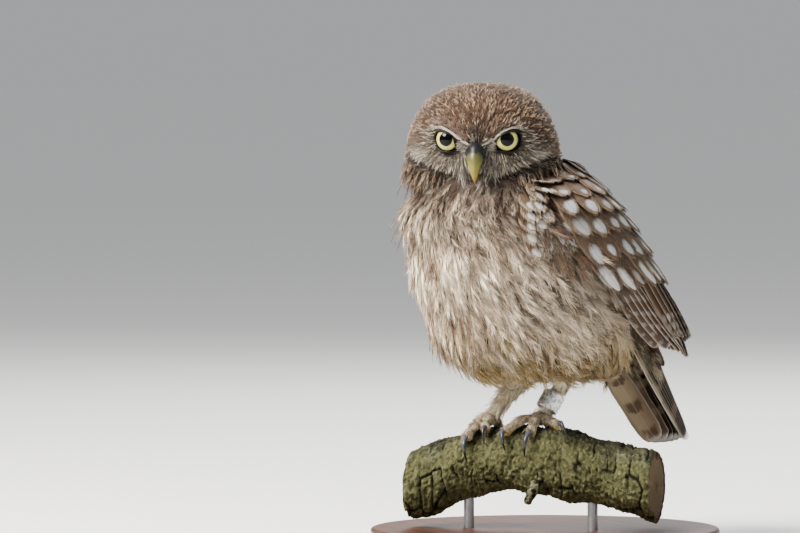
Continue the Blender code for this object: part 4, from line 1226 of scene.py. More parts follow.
CHIN_SHAPE = feather(
    7.4, 1.9, 15, 0.2, 12, 0.14, 0.45, 0.4, 0.55, root=0.6, bare=0.0, hang=0.8,
    tints=[(COLLAR * 0.65, 0.7, 0.85), (FACE_PALE * 0.7, 0.14, 0.7)],
    tip=(linear("bfae98"), 0.3, 0.8)
)
COLLAR_SHAPE = feather(
    10.5, 2.1, 18, 0.22, 20, 0.18, 0.4, 0.42, 0.5, root=0.4, bare=0.02,
    tints=[(COLLAR * 0.8, 0.42, 0.8), (CREAM, 0.16, 0.5)], tip=(CREAM * 0.9, 0.35, 0.7)
)
BREAST_SHAPE = feather(
    14.0, 3.0, 17, 0.15, 28, 0.185, 0.42, 0.5, 0.62, root=0.6, bare=0.02,
    tints=[(CREAM, 0.42, 0.9), (STREAK * 0.85, 0.18, 0.85)], tip=(linear("fff3e0"), 0.35, 0.6)
)
STREAK_SHAPE = feather(
    12.5, 0.7, 24, 0.2, 13, 0.16, 0.5, 0.2, 0.5, root=0.8, bare=0.1,
    tints=[(STREAK * 0.62, 1.0, 0.97)]
)
BELLY_SHAPE = feather(10.5, 2.8, 19, 0.2, 22, 0.17, 0.3, 0.5, 0.6, root=0.6, tip=(CREAM, 0.4, 0.7))
FLANK_SHAPE = feather(15.0, 3.2, 27, 0.2, 30, 0.20, 0.5, 0.6, 0.6, root=0.4)
NAPE_SHAPE = feather(9.5, 2.0, 24, 0.32, 17, 0.17, 0.5, 0.3, 0.5, root=0.3, bare=0.02)
LEG_SHAPE = feather(5.2, 1.3, 28, 0.2, 8, 0.16, 0.2, 0.25, 0.5, root=1.0, tints=[(CREAM, 0.9, 0.8)])
VENT_SHAPE = feather(9.5, 2.3, 9, 0.12, 27, 0.18, 0.3, 0.5, 0.6, root=0.6)
RIM_SHAPE = feather(
    3.6, 0.7, 30, 0.25, 9, 0.12, 0.2, 0.16, 0.55, root=0.9, bare=0.0,
    tints=[(COLLAR * 0.22, 0.9, 0.95), (CROWN_DARK * 0.6, 0.3, 0.8)]
)
EYELASH_SHAPE = feather(
    2.6, 0.35, 26, 0.1, 6, 0.08, 0.4, 0.12, 0.6, root=0.6, bare=0.0,
    tints=[(FACE_PALE, 0.35, 0.8), (FACE_DARK * 0.6, 0.35, 0.8)]
)
coat("crown", ["head"], 1.46, keep_crown, CROWN_SHAPE, 31, unwrap_head, 0.2)
coat("face", ["head"], 0.92, keep_face, FACE_SHAPE, 41, unwrap_head, 0.12, "down_head")
coat("eye_edges", ["head"], 0.72, keep_eyes, EYELASH_SHAPE, 44, unwrap_head, 0.1, "down_head")
coat("bristles", ["head"], 0.85, keep_bristles, BRISTLE_SHAPE, 45, unwrap_head, 0.1, "down_head")
coat("forehead", ["head"], 0.95, keep_forehead, FOREHEAD_SHAPE, 46, unwrap_head)
coat("ruff", ["head", "trunk"], 1.9, keep_chin, CHIN_SHAPE, 47, unwrap_head)
SIDE_TINTS = [(CREAM * 0.6, 0.3, 0.7), (COLLAR * 0.8, 0.5, 0.8)]
SIDE_SHAPE = dict(CHIN_SHAPE, length=12.0, half=2.3, lift=math.radians(7), barbs=14)
SIDE_SHAPE = dict(SIDE_SHAPE, hang=0.9, root=0.8, stray=0.2, tints=SIDE_TINTS)
coat("ruff_sides", ["head", "trunk"], 2.7, keep_sides, SIDE_SHAPE, 49, unwrap_head)
NECK_SHAPE = dict(SIDE_SHAPE, lift=math.radians(24), length=9.5)
coat("neck_sides", ["head", "trunk"], 2.4, keep_neck_sides, NECK_SHAPE, 50)
coat("disc_rim", ["head"], 1.05, keep_rim, RIM_SHAPE, 48, unwrap_head, 0.1, "down_head")
coat("collar", ["trunk"], 3.0, keep_collar, COLLAR_SHAPE, 51)
coat("breast", ["trunk"], 3.35, keep_breast, BREAST_SHAPE, 61)
coat("streaks", ["trunk"], 4.2, keep_streaks, STREAK_SHAPE, 63)
coat("flank", ["trunk", "wing_left", "wing_right"], 3.6, keep_flank, FLANK_SHAPE, 65)
coat("nape", ["trunk"], 2.6, keep_nape, NAPE_SHAPE, 67)
NECK_BACK_SHAPE = dict(NAPE_SHAPE, hang=0.9, length=11.0, barbs=14)
coat("neck_back", ["head"], 2.2, keep_neck, NECK_BACK_SHAPE, 68, unwrap_head)
coat("belly", ["trunk"], 3.4, keep_belly, BELLY_SHAPE, 71)
coat("back", ["trunk"], 4.6, keep_back, COLLAR_SHAPE, 81)
coat("undertail", ["tail"], 3.3, keep_vent, VENT_SHAPE, 83)
coat("shanks", ["leg_left", "leg_right"], 1.3, keep_shanks, LEG_SHAPE, 91, slot="shank_down")

# %% [markdown]
# The wings and tail carry real vanes: stiff feathers with a shaft, two webs and a rounded end,
# which overlap like tiles. Each one is a small grid laid along its place on the wing, arched a
# little across, with a top and an underside. Its markings are drawn by the finish on the feather's
# own coordinates, across and along, so that a spot sits on the feather and not on the wing.

# %% Vanes
VANE_STEPS = np.array([0.0, 0.12, 0.3, 0.5, 0.66, 0.79, 0.88, 0.94, 0.98, 1.0])
VANE_ACROSS = np.array([-1.0, -0.62, 0.0, 0.62, 1.0])
VANE_THICK = 0.34


def vane_width(along, roundness):
    """The share of full width along a vane: it widens from the root and rounds off at its end."""
    end = np.clip((along - (1 - roundness)) / roundness, 0, 1)
    return (0.35 + 0.65 * soft(0.0, 0.45, along)) * np.sqrt(np.clip(1 - 0.985 * end**2.2, 0, 1))


def at_steps(values, along):
    """Values given at VANE_STEPS, read between them."""
    low = np.clip(np.searchsorted(VANE_STEPS, along) - 1, 0, len(VANE_STEPS) - 2)
    share = (along - VANE_STEPS[low]) / (VANE_STEPS[low + 1] - VANE_STEPS[low])
    share = share[None, :, None] if values.ndim == 3 else share[None]
    return values[:, low] * (1 - share) + values[:, low + 1] * share


def laid_frame(paths, overs, tilts):
    """Along, across and out of each vane, turned about its shaft by its tilt."""
    heading = unit(np.gradient(paths, axis=1))
    across = unit(np.cross(overs, heading))
    over = np.cross(heading, across)
    cos, sin = np.cos(tilts)[..., None], np.sin(tilts)[..., None]
    return heading, across * cos - over * sin, over * cos + across * sin


def vane_fringe(paths, overs, halves, tilts, roundness, tones, seed, density=34, reach=1.3):
    """Loose barbs along both edges and round the end of each vane, which leave no hard outline."""
    draw = np.random.default_rng(seed)
    heading, across, over = laid_frame(paths, overs, tilts)
    width = halves[:, None] * vane_width(VANE_STEPS, roundness)
    low = density // 2
    along = [np.linspace(0.3, 0.86, low), np.linspace(0.87, 0.995, density - low)]
    along = np.tile(np.concatenate(along), 2)
    hand = np.repeat([-1.0, 1.0], density)
    later = np.minimum(along + 0.05, 1.0)
    place, further = at_steps(paths, along), at_steps(paths, later)
    side, up, ahead = at_steps(across, later), at_steps(over, later), at_steps(heading, later)
    wide, wide_later = at_steps(width, along)[..., None], at_steps(width, later)[..., None]
    out = hand[None, :, None]
    first = place + 0.7 * wide * out * side - 0.1 * up
    much = reach * draw.uniform(0.5, 1.1, (*first.shape[:2], 1))
    last = further + (wide_later + 0.45 * much) * out * side + much * ahead - 0.35 * up
    last = last + draw.normal(0, 0.16, last.shape)
    middle = 0.5 * (first + last) + 0.15 * up
    strands = np.stack([first, middle, last], axis=2).reshape(-1, 3, 3)
    tones = (np.broadcast_to(tone, (len(strands), 3)) for tone in tones)
    tone = blend(*tones, draw.uniform(size=len(strands)))
    colours = np.repeat((tone * draw.uniform(0.8, 1.15, (len(tone), 1)))[:, None], 3, axis=1)
    radii = np.tile([0.13, 0.10], (len(strands), 1))
    return strands, radii, up.reshape(-1, 3), np.clip(colours, 0, 1)


def vane_mesh(
    name, paths, overs, halves, tilts, finish, seed, inner=1.0, roundness=0.3, camber=0.12
):
    """Closed vanes as one mesh.

    paths is vanes by VANE_STEPS, overs the way out of the wing there, halves each vane's half
    width, and tilts the turn about the shaft that lays each vane over the next. Across the vane a
    point drops by camber times the half width times the square of its share, and the underside
    lies below the top by the thickness, which thins towards the edges."""
    draw = np.random.default_rng(seed)
    count, rows = paths.shape[:2]
    _, across, over = laid_frame(paths, overs, tilts)
    width = halves[:, None] * vane_width(VANE_STEPS, roundness)
    ragged = 1 + draw.normal(0, 0.035, (count, rows, 2)) * soft(0.3, 0.8, VANE_STEPS)[:, None]
    share = VANE_ACROSS[None, None]
    reach = np.where(share < 0, share * ragged[..., :1], share * inner * ragged[..., 1:])
    reach = reach * width[..., None]
    sag = camber * halves[:, None, None] * share**2 * (width / halves[:, None])[..., None]
    thick = VANE_THICK * (1 - 0.72 * np.abs(share))
    top = paths[:, :, None] + reach[..., None] * across[:, :, None]
    top = top - sag[..., None] * over[:, :, None]
    under = top - thick[..., None] * over[:, :, None]
    columns = len(VANE_ACROSS)
    points = np.concatenate([top, under[:, :, ::-1]], axis=2).reshape(count, -1, 3)
    faces = grid_faces(rows, 2 * columns, closed=True)
    ends = []
    for row in (0, rows - 1):
        start = row * 2 * columns
        for k in range(columns - 1):
            back = start + 2 * columns - 1 - k
            face = [start + k, start + k + 1, back - 1, back]
            ends.append(face if row == 0 else face[::-1])
    faces = np.concatenate([faces, np.array(ends)])
    index = faces[None] + (np.arange(count) * points.shape[1])[:, None, None]
    u = np.concatenate([VANE_ACROSS, VANE_ACROSS[::-1]])[None] + 0 * VANE_STEPS[:, None]
    v = VANE_STEPS[:, None] + 0 * u
    own = np.stack([0.5 + 0.5 * u, v], axis=-1).reshape(1, -1, 2).repeat(count, axis=0)
    cells = math.ceil(math.sqrt(count))
    cell = np.stack([np.arange(count) % cells, np.arange(count) // cells], axis=-1)
    half_u = np.concatenate([0.25 + 0.23 * VANE_ACROSS, 0.75 + 0.23 * VANE_ACROSS[::-1]])
    half_u = (half_u[None] + 0 * VANE_STEPS[:, None]).ravel()
    flat = np.stack([half_u, 0.03 + 0.94 * v.ravel()], axis=-1)
    baked = (cell[:, None] + flat[None]) / cells
    long = np.linalg.norm(paths[:, -1] - paths[:, 0], axis=-1)
    chance = draw.uniform(-1, 1, (count, 1, 3))
    size = np.stack([halves, long, np.arange(count) / max(count - 1, 1)], axis=-1)[:, None]
    values = {
        "chance": np.broadcast_to(chance, points.shape).reshape(-1, 3),
        "size": np.broadcast_to(size, points.shape).reshape(-1, 3)
    }
    uvs = {"feather": own.reshape(-1, 2), "OFBake": baked.reshape(-1, 2)}
    return mesh_piece(
        name, points.reshape(-1, 3), index.reshape(-1, 4), finish, uvs=uvs, values=values
    )


def vane_finish(name, ground, edge, spots, spot_colour, bars=None, tip=0.0, rim=0.0):
    """Brown vanes with a darker shaft, pale spots and a pale rim.

    spots is rows of across, along, half width and half length on a vane that is 1 wide each way
    and 1 long, bars is (count, depth) of pale bars along it, and tip and rim are how pale its end
    and edges are."""
    made = Finish(name, Roughness=0.6, Specular_IOR_Level=0.3, Sheen_Weight=0.1)
    u, v, _ = made.uv("feather").parts()
    chance_a, chance_b, chance_c = made.value("chance").parts()
    half, long, order = made.value("size").parts()
    lead = order.step(0.13, 0.05)
    across = (u - 0.5) * 2.0
    side = across.math("ABSOLUTE")
    place = across * half * 0.35 + chance_a * 37.0, v * long * 0.16, chance_b * 19.0
    wobble = made.noise(made.vector(*place), 1.3, 2.0) - 0.5
    barb = (v * long - side * half * 1.1) * 2.6, side * half * 0.25, chance_c * 23.0
    streaks = made.noise(made.vector(*barb), 1.0, 2.0, 0.6)
    colour = made.mix(streaks.step(0.3, 0.75), ground * 0.74, ground * 1.22)
    colour = made.mix(side.step(0.5, 1.0) * 0.5, colour, edge)
    colour = made.mix(side.step(0.10, 0.04) * 0.45, colour, ground * 0.45)
    pale = None
    grown = chance_c * 0.24 + 1.0 + lead * 0.5
    for at_across, at_along, wide, tall in spots:
        far = ((across - at_across - chance_a * 0.1) / wide) ** 2.0
        far = (far + ((v - at_along + chance_b * 0.02) / tall) ** 2.0) / (grown * grown)
        spot = (far + wobble * 1.3 + (streaks - 0.5) * 2.2).step(1.9, 0.15)
        spot = spot * (chance_b.step(-1.0, -0.6) * 0.6 + 0.4)
        pale = spot if pale is None else pale.math("MAXIMUM", spot)
    if bars:
        count, depth = bars
        wave = ((v + side * 0.05 + chance_b * 0.02) * math.tau * count).math("SINE")
        band = (wave + wobble * 0.9).step(0.25, 0.75) * (side.step(0.25, 0.6) if depth < 0 else 1.0)
        band = band * abs(depth)
        pale = band if pale is None else pale.math("MAXIMUM", band)
    if pale is not None:
        mottled = made.mix(streaks.step(0.2, 0.8), spot_colour * 0.82, spot_colour)
        colour = made.mix(pale * 0.92, colour, mottled)
        colour = made.mix(side.step(0.09, 0.02) * 0.3, colour, ground)
    if tip:
        colour = made.mix((v + wobble * 0.03).step(0.93, 0.985) * tip, colour, spot_colour)
    if rim:
        colour = made.mix((side + wobble * 0.2).step(0.8, 0.97) * rim, colour, spot_colour)
    made.feed("Base Color", colour)
    return made.relief(streaks, 0.00025, 0.6).material


# %% [markdown]
# Each tier of a wing is one row of vanes whose roots and tips lie on two lines of the wing's own
# surface. The tiers are laid from the long flight feathers up to the small ones of the shoulder,
# and within a tier each inner feather lies over the next outer one, as in a real wing.

# %% Wing feathers
WING_BROWN, WING_EDGE = linear("564537"), linear("84725d")
FLIGHT_BROWN, FLIGHT_EDGE = linear("493627"), linear("927b62")
SPOT_WHITE, SPOT_BLUE = linear("c9c8c4"), linear("b0b4b6")
ROOT_SINK = 3.6

vane_finishes = {
    "primary": vane_finish(
        "primary_vanes", FLIGHT_BROWN * 0.85, FLIGHT_EDGE, [], SPOT_WHITE * 0.8, (6, -0.3), 0.8,
        0.4
    ),
    "secondary": vane_finish(
        "secondary_vanes", FLIGHT_BROWN, FLIGHT_EDGE,
        [(-0.62, 0.9, 0.26, 0.035), (-0.6, 0.76, 0.22, 0.035), (-0.6, 0.62, 0.2, 0.035)],
        SPOT_WHITE * 0.85, None, 0.5, 0.15
    ),
    "greater": vane_finish(
        "greater_covert_vanes", WING_BROWN * 0.88, WING_EDGE, [(-0.3, 0.83, 0.44, 0.19)],
        SPOT_WHITE, None, 0.1
    ),
    "median": vane_finish(
        "median_covert_vanes", WING_BROWN, WING_EDGE, [(-0.1, 0.82, 0.42, 0.14)], SPOT_BLUE
    ),
    "lesser": vane_finish(
        "lesser_covert_vanes", WING_BROWN, WING_EDGE, [(0.0, 0.81, 0.46, 0.13)], SPOT_BLUE
    ),
    "shoulder": vane_finish(
        "shoulder_vanes", WING_BROWN * 1.08, WING_EDGE, [(0.05, 0.84, 0.34, 0.09)], SPOT_BLUE * 0.8
    ),
    "soft": vane_finish(
        "soft_shoulder_vanes", WING_BROWN * 1.2, WING_EDGE * 1.1, [(0.0, 0.79, 0.6, 0.22)],
        SPOT_WHITE
    ),
    "mantle": vane_finish(
        "mantle_vanes", WING_BROWN, WING_EDGE, [(0.0, 0.86, 0.42, 0.08)], SPOT_BLUE * 0.8
    )
}
# Each tier, from under to over: how many feathers, where the row's roots and tips lie on the
# wing's surface at its lower and back ends as s and t, half a feather's width there, and how high
# its tips lie
WING_TIERS = {
    "primary": (9, (0.47, 0.05), (0.46, 0.34), (0.80, 0.05), (1.03, 0.50), (3.9, 4.8), -0.6),
    "secondary": (11, (0.42, 0.28), (0.40, 0.97), (0.78, 0.30), (0.93, 0.86), (4.8, 5.2), 1.0),
    "greater": (11, (0.30, 0.05), (0.31, 0.97), (0.48, 0.05), (0.58, 0.96), (4.5, 5.0), 1.2),
    "median": (9, (0.20, 0.06), (0.22, 0.97), (0.37, 0.05), (0.45, 0.96), (4.9, 5.4), 1.4),
    "lesser": (8, (0.11, 0.07), (0.13, 0.97), (0.27, 0.07), (0.34, 0.96), (5.0, 5.6), 1.5),
    "lesser_upper": (7, (0.04, 0.1), (0.05, 0.97), (0.18, 0.09), (0.24, 0.96), (5.0, 5.8), 1.6),
    "shoulder": (6, (-0.02, 0.14), (-0.02, 0.95), (0.10, 0.12), (0.14, 0.95), (5.8, 6.4), 0.9),
    "shoulder_top": (6, (-0.11, 0.16), (-0.11, 0.95), (0.02, 0.14), (0.05, 0.95), (6.2, 6.6), 0.1)
}
# The first tiers are flight feathers and the others coverts. For each kind: how round and how
# arched a vane is, how many barbs it has and how far they reach, and their two colours
FLIGHT_TIERS = 2
FLIGHT_KIND = (0.16, 0.06, 36, 0.8, FLIGHT_BROWN, FLIGHT_EDGE)
COVERT_KIND = (0.42, 0.14, 44, 1.5, WING_BROWN * 0.9, WING_EDGE)
VANE_CLEAR, TIP_CHANCE = 0.62, 0.012
STEEPEST_TILT = math.radians(30)


def tier_vanes(tier, seed, bow):
    """Paths, normals, half widths and tilts of one row of wing feathers."""
    draw = np.random.default_rng(seed)
    count, root_low, root_back, tip_low, tip_back, halves, height = tier
    part = np.linspace(0, 1, count)[:, None]
    root = np.array(root_low) + part * (np.array(root_back) - root_low)
    tip = np.array(tip_low) + part**bow * (np.array(tip_back) - tip_low)
    tip = tip + draw.uniform(-1, 1, tip.shape) * TIP_CHANCE
    place = root[:, None] + (tip - root)[:, None] * VANE_STEPS[:, None]
    point, over = wing_frame(place[..., 0], np.clip(place[..., 1], 0.0, 1.0))
    lift = -ROOT_SINK + (height + ROOT_SINK) * VANE_STEPS**0.7
    paths = point + over * (
        lift[:, None] + 0.5 * draw.uniform(-1, 1, (count, 1, 1)) * VANE_STEPS[:, None]
    )
    heading = unit(np.gradient(paths, axis=1))
    pitch = np.linalg.norm(np.cross(heading, np.gradient(paths, axis=0)), axis=-1)
    tilts = np.minimum(np.arcsin(np.minimum(VANE_CLEAR / pitch, 1.0)), STEEPEST_TILT)
    halves = halves[0] + (halves[1] - halves[0]) * part[:, 0] * draw.uniform(0.95, 1.05, count)
    return paths, over, halves, tilts


for side_name, side in SIDES:
    fringes = []
    for number, (tier_name, tier) in enumerate(WING_TIERS.items()):
        paths, overs, halves, tilts = tier_vanes(tier, 200 + number, 0.75 if number == 0 else 1.0)
        mirror = np.array([side, 1.0, 1.0])
        finish = vane_finishes[tier_name.split("_")[0]]
        kind = FLIGHT_KIND if number < FLIGHT_TIERS else COVERT_KIND
        roundness, camber, density, reach, *tones = kind
        piece = vane_mesh(
            f"{tier_name}_feathers_{side_name}", paths * mirror, overs * mirror, halves,
            tilts * side, finish, 300 + number, roundness=roundness, camber=camber
        )
        if side < 0:
            piece.data.flip_normals()
        dress(piece, "vanes", f"wing_{side_name}")
        given = paths, overs, halves, tilts, roundness, tones, 350 + number, density, reach
        fringes.append(vane_fringe(*given))
    strands, radii, ups, colours = map(np.concatenate, zip(*fringes))
    strands, ups = strands * mirror, ups * mirror
    if side < 0:
        ups = -ups
    piece = strand_mesh(
        f"wing_barbs_{side_name}", strands, radii, ups, colours, unwrap_body(strands[:, 0])
    )
    dress(piece, "vanes")

# %% Shoulder feathers
SHOULDER_LONG, SHOULDER_HALF, SHOULDER_ROUND = 11.5, 4.1, 0.55
roots, normals, part = scatter(["trunk"], 5.3, keep_spots, 69)
ways = lie(roots, normals, part, 0.12, 69)
steps = VANE_STEPS[None, :, None]
lift = 0.6 + 4.4 * steps**0.6 - 0.8 * steps**3
paths = roots[:, None] + ways[:, None] * SHOULDER_LONG * steps + normals[:, None] * lift
overs = np.broadcast_to(normals[:, None], paths.shape)
halves, tilts = SHOULDER_HALF + 0 * roots[:, 0], 0.1 * np.sign(roots[:, :1]) + 0 * VANE_STEPS
laid = paths, overs, halves, tilts
piece = vane_mesh("shoulder_spots", *laid, vane_finishes["soft"], 71, 1.0, SHOULDER_ROUND, 0.2)
dress(piece, "vanes")
barbs = vane_fringe(*laid, SHOULDER_ROUND, (WING_BROWN, CREAM * 0.55), 72, 38, 2.4)
dress(strand_mesh("shoulder_barbs", *barbs, unwrap_body(barbs[0][:, 0])), "vanes")
print("shoulder", len(roots), "feathers")
# %% [markdown]
# The tail has six pairs of feathers, each pair a step lower than the one inside it, so that the
# whole is roofed like a tent and shows its edges from the side. The left six are laid out by rule
# and the right six are their reflection in the tail's middle. Under it the last pair shows broad
# and pale with brown bars. Small vanes cover the roots above.

# %% Tail feathers
RECTRIX_PAIRS, RECTRIX_HALF = 6, 6.0
RECTRIX_SPREAD, RECTRIX_STEP, RECTRIX_SHORTER = (1.2, 12.0), (4.0, 1.9), 0.055
TAIL_DARK, TAIL_PALE = linear("43352a"), linear("b9aa92")
TAIL_FURTHER = np.array([0.0, 4.2, -2.4])
# How far the right feathers lie under the left ones
RIGHT_LOWER = 1.5


def tail_paths():
    """Paths, inner shares and tilts of the left six, from the middle outwards."""
    number = np.arange(RECTRIX_PAIRS)[:, None]
    outward = number / (RECTRIX_PAIRS - 1)
    near, far = RECTRIX_SPREAD
    pitch = (far - near) * (1.0 - 0.32 * VANE_STEPS) / (RECTRIX_PAIRS - 1)
    step = RECTRIX_STEP[0] + (RECTRIX_STEP[1] - RECTRIX_STEP[0]) * VANE_STEPS
    end = 1.0 - RECTRIX_SHORTER * outward**2
    along = 0.12 + (end - 0.12) * VANE_STEPS
    paths = (
        tail_place(along, near + number * pitch, (2.5 - number) * step)
        + along[..., None] * TAIL_FURTHER
    )
    inner = np.minimum(RECTRIX_HALF, near + (far - near) * outward[:, 0] * 0.68 - 0.4)
    inner[0] = RECTRIX_HALF * 0.6
    tilts = np.arctan2(step, pitch) - np.arcsin(0.6 / np.hypot(step, pitch))
    return paths, inner / RECTRIX_HALF, -(tilts + 0 * along)


def tail_finish():
    """Brown upper feathers with faint bars, and pale outer ones with broad brown bars."""
    made = Finish("tail_vanes", Roughness=0.7, Specular_IOR_Level=0.12)
    u, v, _ = made.uv("feather").parts()
    chance_a, chance_b, chance_c = made.value("chance").parts()
    half, long, order = made.value("size").parts()
    across = (u - 0.5) * 2.0
    side = across.math("ABSOLUTE")
    place = across * 2.2 + chance_a * 37.0, v * long * 0.16, chance_b * 19.0
    wobble = made.noise(made.vector(*place), 1.2, 3.0) - 0.5
    barb = (v * long - side * half * 1.1) * 2.6, side * 1.5, chance_c * 23.0
    streaks = made.noise(made.vector(*barb), 1.0, 2.0, 0.6)
    outer = order.step(0.72, 0.9)
    dark = made.mix(streaks.step(0.3, 0.75), TAIL_DARK * 0.75, TAIL_DARK * 1.2)
    bars = ((v * long * 0.062 + side * 0.12 + wobble * 0.35) * math.tau).math("SINE")
    dark = made.mix(bars.step(0.45, 0.9) * side.step(0.2, 0.6) * 0.3, dark, TAIL_PALE)
    pale = made.mix(streaks.step(0.3, 0.75), TAIL_PALE * 0.96, TAIL_PALE * 1.04)
    blotch = (bars + wobble * 3.2).step(-0.1, -0.9) * (1 - side.step(0.4, 0.9))
    pale = made.mix(
        (across * 0.5 + wobble * 0.5 + v * 0.5).step(0.1, 0.8) * 0.6, pale, linear("8c765f")
    )
    pale = made.mix(blotch * 0.7, pale, TAIL_DARK * 1.25)
    colour = made.mix(outer, dark, pale)
    colour = made.mix(
        (side + wobble * 0.1).step(0.86, 0.97) * (outer * 0.45 + 0.35), colour, SPOT_WHITE
    )
    colour = made.mix(side.step(0.07, 0.02) * 0.5, colour, TAIL_PALE * 1.1)
    colour = made.mix((v + wobble * 0.03).step(0.94, 0.985) * 0.85, colour, SPOT_WHITE)
    made.feed("Base Color", colour)
    return made.relief(streaks, 0.00025, 0.6).material


tail_vanes = tail_finish()
_, tail_across, tail_upper = tail_frame()
paths, inner, tilts = tail_paths()
overs = np.broadcast_to(tail_upper, paths.shape)
for side_name, side in SIDES:
    piece = vane_mesh(
        f"tail_feathers_{side_name}", paths, overs, np.full(RECTRIX_PAIRS, RECTRIX_HALF), tilts,
        tail_vanes, 401, inner=inner[:, None, None], roundness=0.1, camber=0.05
    )
    if side < 0:
        points, _, _ = mesh_arrays(piece)
        offset = (points - TAIL_TIP) @ tail_across
        points = points - 2 * offset[:, None] * tail_across - RIGHT_LOWER * tail_upper
        move_points(piece.data, points)
        piece.data.flip_normals()
    dress(piece, "vanes", "tail")

# Rows of small vanes over the roots: how many, from where to where down the tail, and how high
TAIL_COVERTS = [(5, 0.06, 0.5, 7.6), (4, 0.0, 0.36, 8.8), (3, -0.06, 0.24, 9.8)]
covert_rows = []
for count, start, end, lift in TAIL_COVERTS:
    aside = (np.arange(count) - (count - 1) / 2)[:, None] * 5.4
    along = start + (end - start) * VANE_STEPS[None] + 0 * aside
    above = lift + 1.4 * VANE_STEPS[None] ** 0.6 - 0.045 * aside**2 - 2.2 * (1 - VANE_STEPS) ** 2
    covert_rows.append(tail_place(along, aside * (0.7 + 0.3 * VANE_STEPS), above))
paths = np.concatenate(covert_rows)
overs = np.broadcast_to(tail_upper, paths.shape)
piece = vane_mesh(
    "tail_coverts", paths, overs, np.full(len(paths), 4.0), np.full(paths.shape[:2], 0.12),
    vane_finishes["mantle"], 405, roundness=0.4
)
dress(piece, "vanes")

# %% [markdown]
# Between the shoulders the wings don't meet. Rows of mantle feathers close the back, on a surface
# that bows from the back edge of one wing to that of the other.

# %% Mantle feathers
MANTLE_BOW = 3.0


def mantle_surface(s, m):
    """m runs from -1 at the right wing's back edge to 1 at the left's, s down the back."""
    s, m = np.broadcast_arrays(np.asarray(s, float), np.asarray(m, float))
    edge = wing_surface(s, 0.96)
    wide = edge[..., 0] + 1.5
    up = MANTLE_BOW * (1 - m**2)
    return np.stack([m * wide, edge[..., 1] + up, edge[..., 2] + 0.45 * up], axis=-1)


mantle_paths, mantle_overs = [], []
MANTLE_ROWS = [
    (0.30, 0.56, 2), (0.24, 0.47, 3), (0.17, 0.39, 4), (0.10, 0.31, 3), (0.04, 0.23, 4),
    (-0.02, 0.15, 5), (-0.06, 0.07, 4)
]
for root_s, tip_s, count in MANTLE_ROWS:
    m = ((np.arange(count) + 0.5) / count * 2 - 1)[:, None] * 0.85
    s = root_s + (tip_s - root_s) * VANE_STEPS[None] + 0 * m
    held = np.clip(s, 0.0, 1.0)
    m = m + 0 * s
    point = mantle_surface(held, m)
    slope = (mantle_surface(0.02, m) - mantle_surface(0.0, m)) / 0.02
    point = point + slope * (s - held)[..., None]
    ahead = mantle_surface(np.clip(held + 0.01, 0, 1), m)
    ahead = ahead - mantle_surface(np.clip(held - 0.01, 0, 1), m)
    over = unit(np.cross(mantle_surface(held, m + 0.02) - mantle_surface(held, m - 0.02), ahead))
    over = over * np.sign(over[..., 1:2])
    lift = -3.0 + 4.6 * VANE_STEPS**0.7
    mantle_paths.append(point + over * lift[:, None])
    mantle_overs.append(over)
paths, overs = np.concatenate(mantle_paths), np.concatenate(mantle_overs)
halves = np.random.default_rng(7).uniform(4.6, 5.4, len(paths))
laid = paths, overs, halves, np.full(paths.shape[:2], 0.14)
piece = vane_mesh("mantle_feathers", *laid, vane_finishes["mantle"], 407, roundness=0.42)
dress(piece, "vanes")

# %% [markdown]
# The eyes make the owl. Each is a ball with its front drawn out like a cornea, pale yellow round a
# wide black pupil, under a wet coat. A dark-edged lid lies close on the ball above and below, and
# the upper one hangs low towards the bill, which gives the frown.

# %% Eyes
PUPIL_EDGE, IRIS_EDGE = 0.455, 0.82


def eye_frame(side):
    look = np.array([side * math.sin(EYE_OUTWARD), -math.cos(EYE_OUTWARD), 0.0])
    across = unit(np.cross(UP, look))
    return np.array([side * EYE_SPREAD, -EYE_DEPTH, EYE_HEIGHT]), look, across


def eye_rings(side):
    """A ball about its look axis. The front is drawn out by a bump of the polar angle."""
    middle, look, across = eye_frame(side)
    polar = np.concatenate([np.linspace(0.02, 1.0, 60), np.linspace(1.05, math.pi - 0.05, 24)])
    turn = circle(72)
    ahead = EYE_RADIUS * np.cos(polar) + 0.7 * bump(polar, 0.62)
    out = EYE_RADIUS * np.sin(polar)[:, None, None]
    cos, sin = np.cos(turn)[None, :, None], np.sin(turn)[None, :, None]
    rings = middle + ahead[:, None, None] * look
    rings = rings + out * cos * across + out * sin * np.cross(look, across)
    return rings, polar, turn


def eye_finish():
    """A black pupil, a yellow iris with fine spokes and a dark ring, under a wet coat."""
    made = Finish(
        "wet_eye", Roughness=0.25, Coat_Weight=1.0, Coat_Roughness=0.02, Coat_IOR=1.3,
        Specular_IOR_Level=0.0
    )
    polar, spoke_a, spoke_b = made.value("eye").parts()
    fibres = made.vector(spoke_a * 7.0, spoke_b * 7.0, polar * 1.5)
    fibres = made.noise(fibres, 1.6, 4.0, 0.65)
    share = (polar - PUPIL_EDGE) / (IRIS_EDGE - PUPIL_EDGE)
    iris = made.ramp(
        share + (fibres - 0.5) * 0.3, (0.0, linear("968f40")), (1.0, linear("6d682e")),
        (0.25, linear("bdb97c")), (0.7, linear("aba766"))
    )
    ring = polar.step(IRIS_EDGE - 0.05, IRIS_EDGE + 0.01)
    hole = polar.step(PUPIL_EDGE + 0.012, PUPIL_EDGE - 0.012)
    dark = linear("0b0a0a")
    colour = made.mix(ring, iris, dark)
    return made.feed("Base Color", made.mix(hole, colour, (0.002, 0.002, 0.003))).material


wet_eye = eye_finish()
for side_name, side in SIDES:
    rings, polar, turn = eye_rings(side)
    seen = np.broadcast_arrays(polar[:, None], np.cos(turn), np.sin(turn))
    seen = np.stack(seen, axis=-1)
    seen = np.vstack([seen.reshape(-1, 3), [[0, 0, 0]], [[math.pi, 0, 0]]])
    piece = ring_piece(f"eyeball_{side_name}", rings, wet_eye, from_head, eye=seen)
    dress(piece, "iris", f"eye_{side_name}")

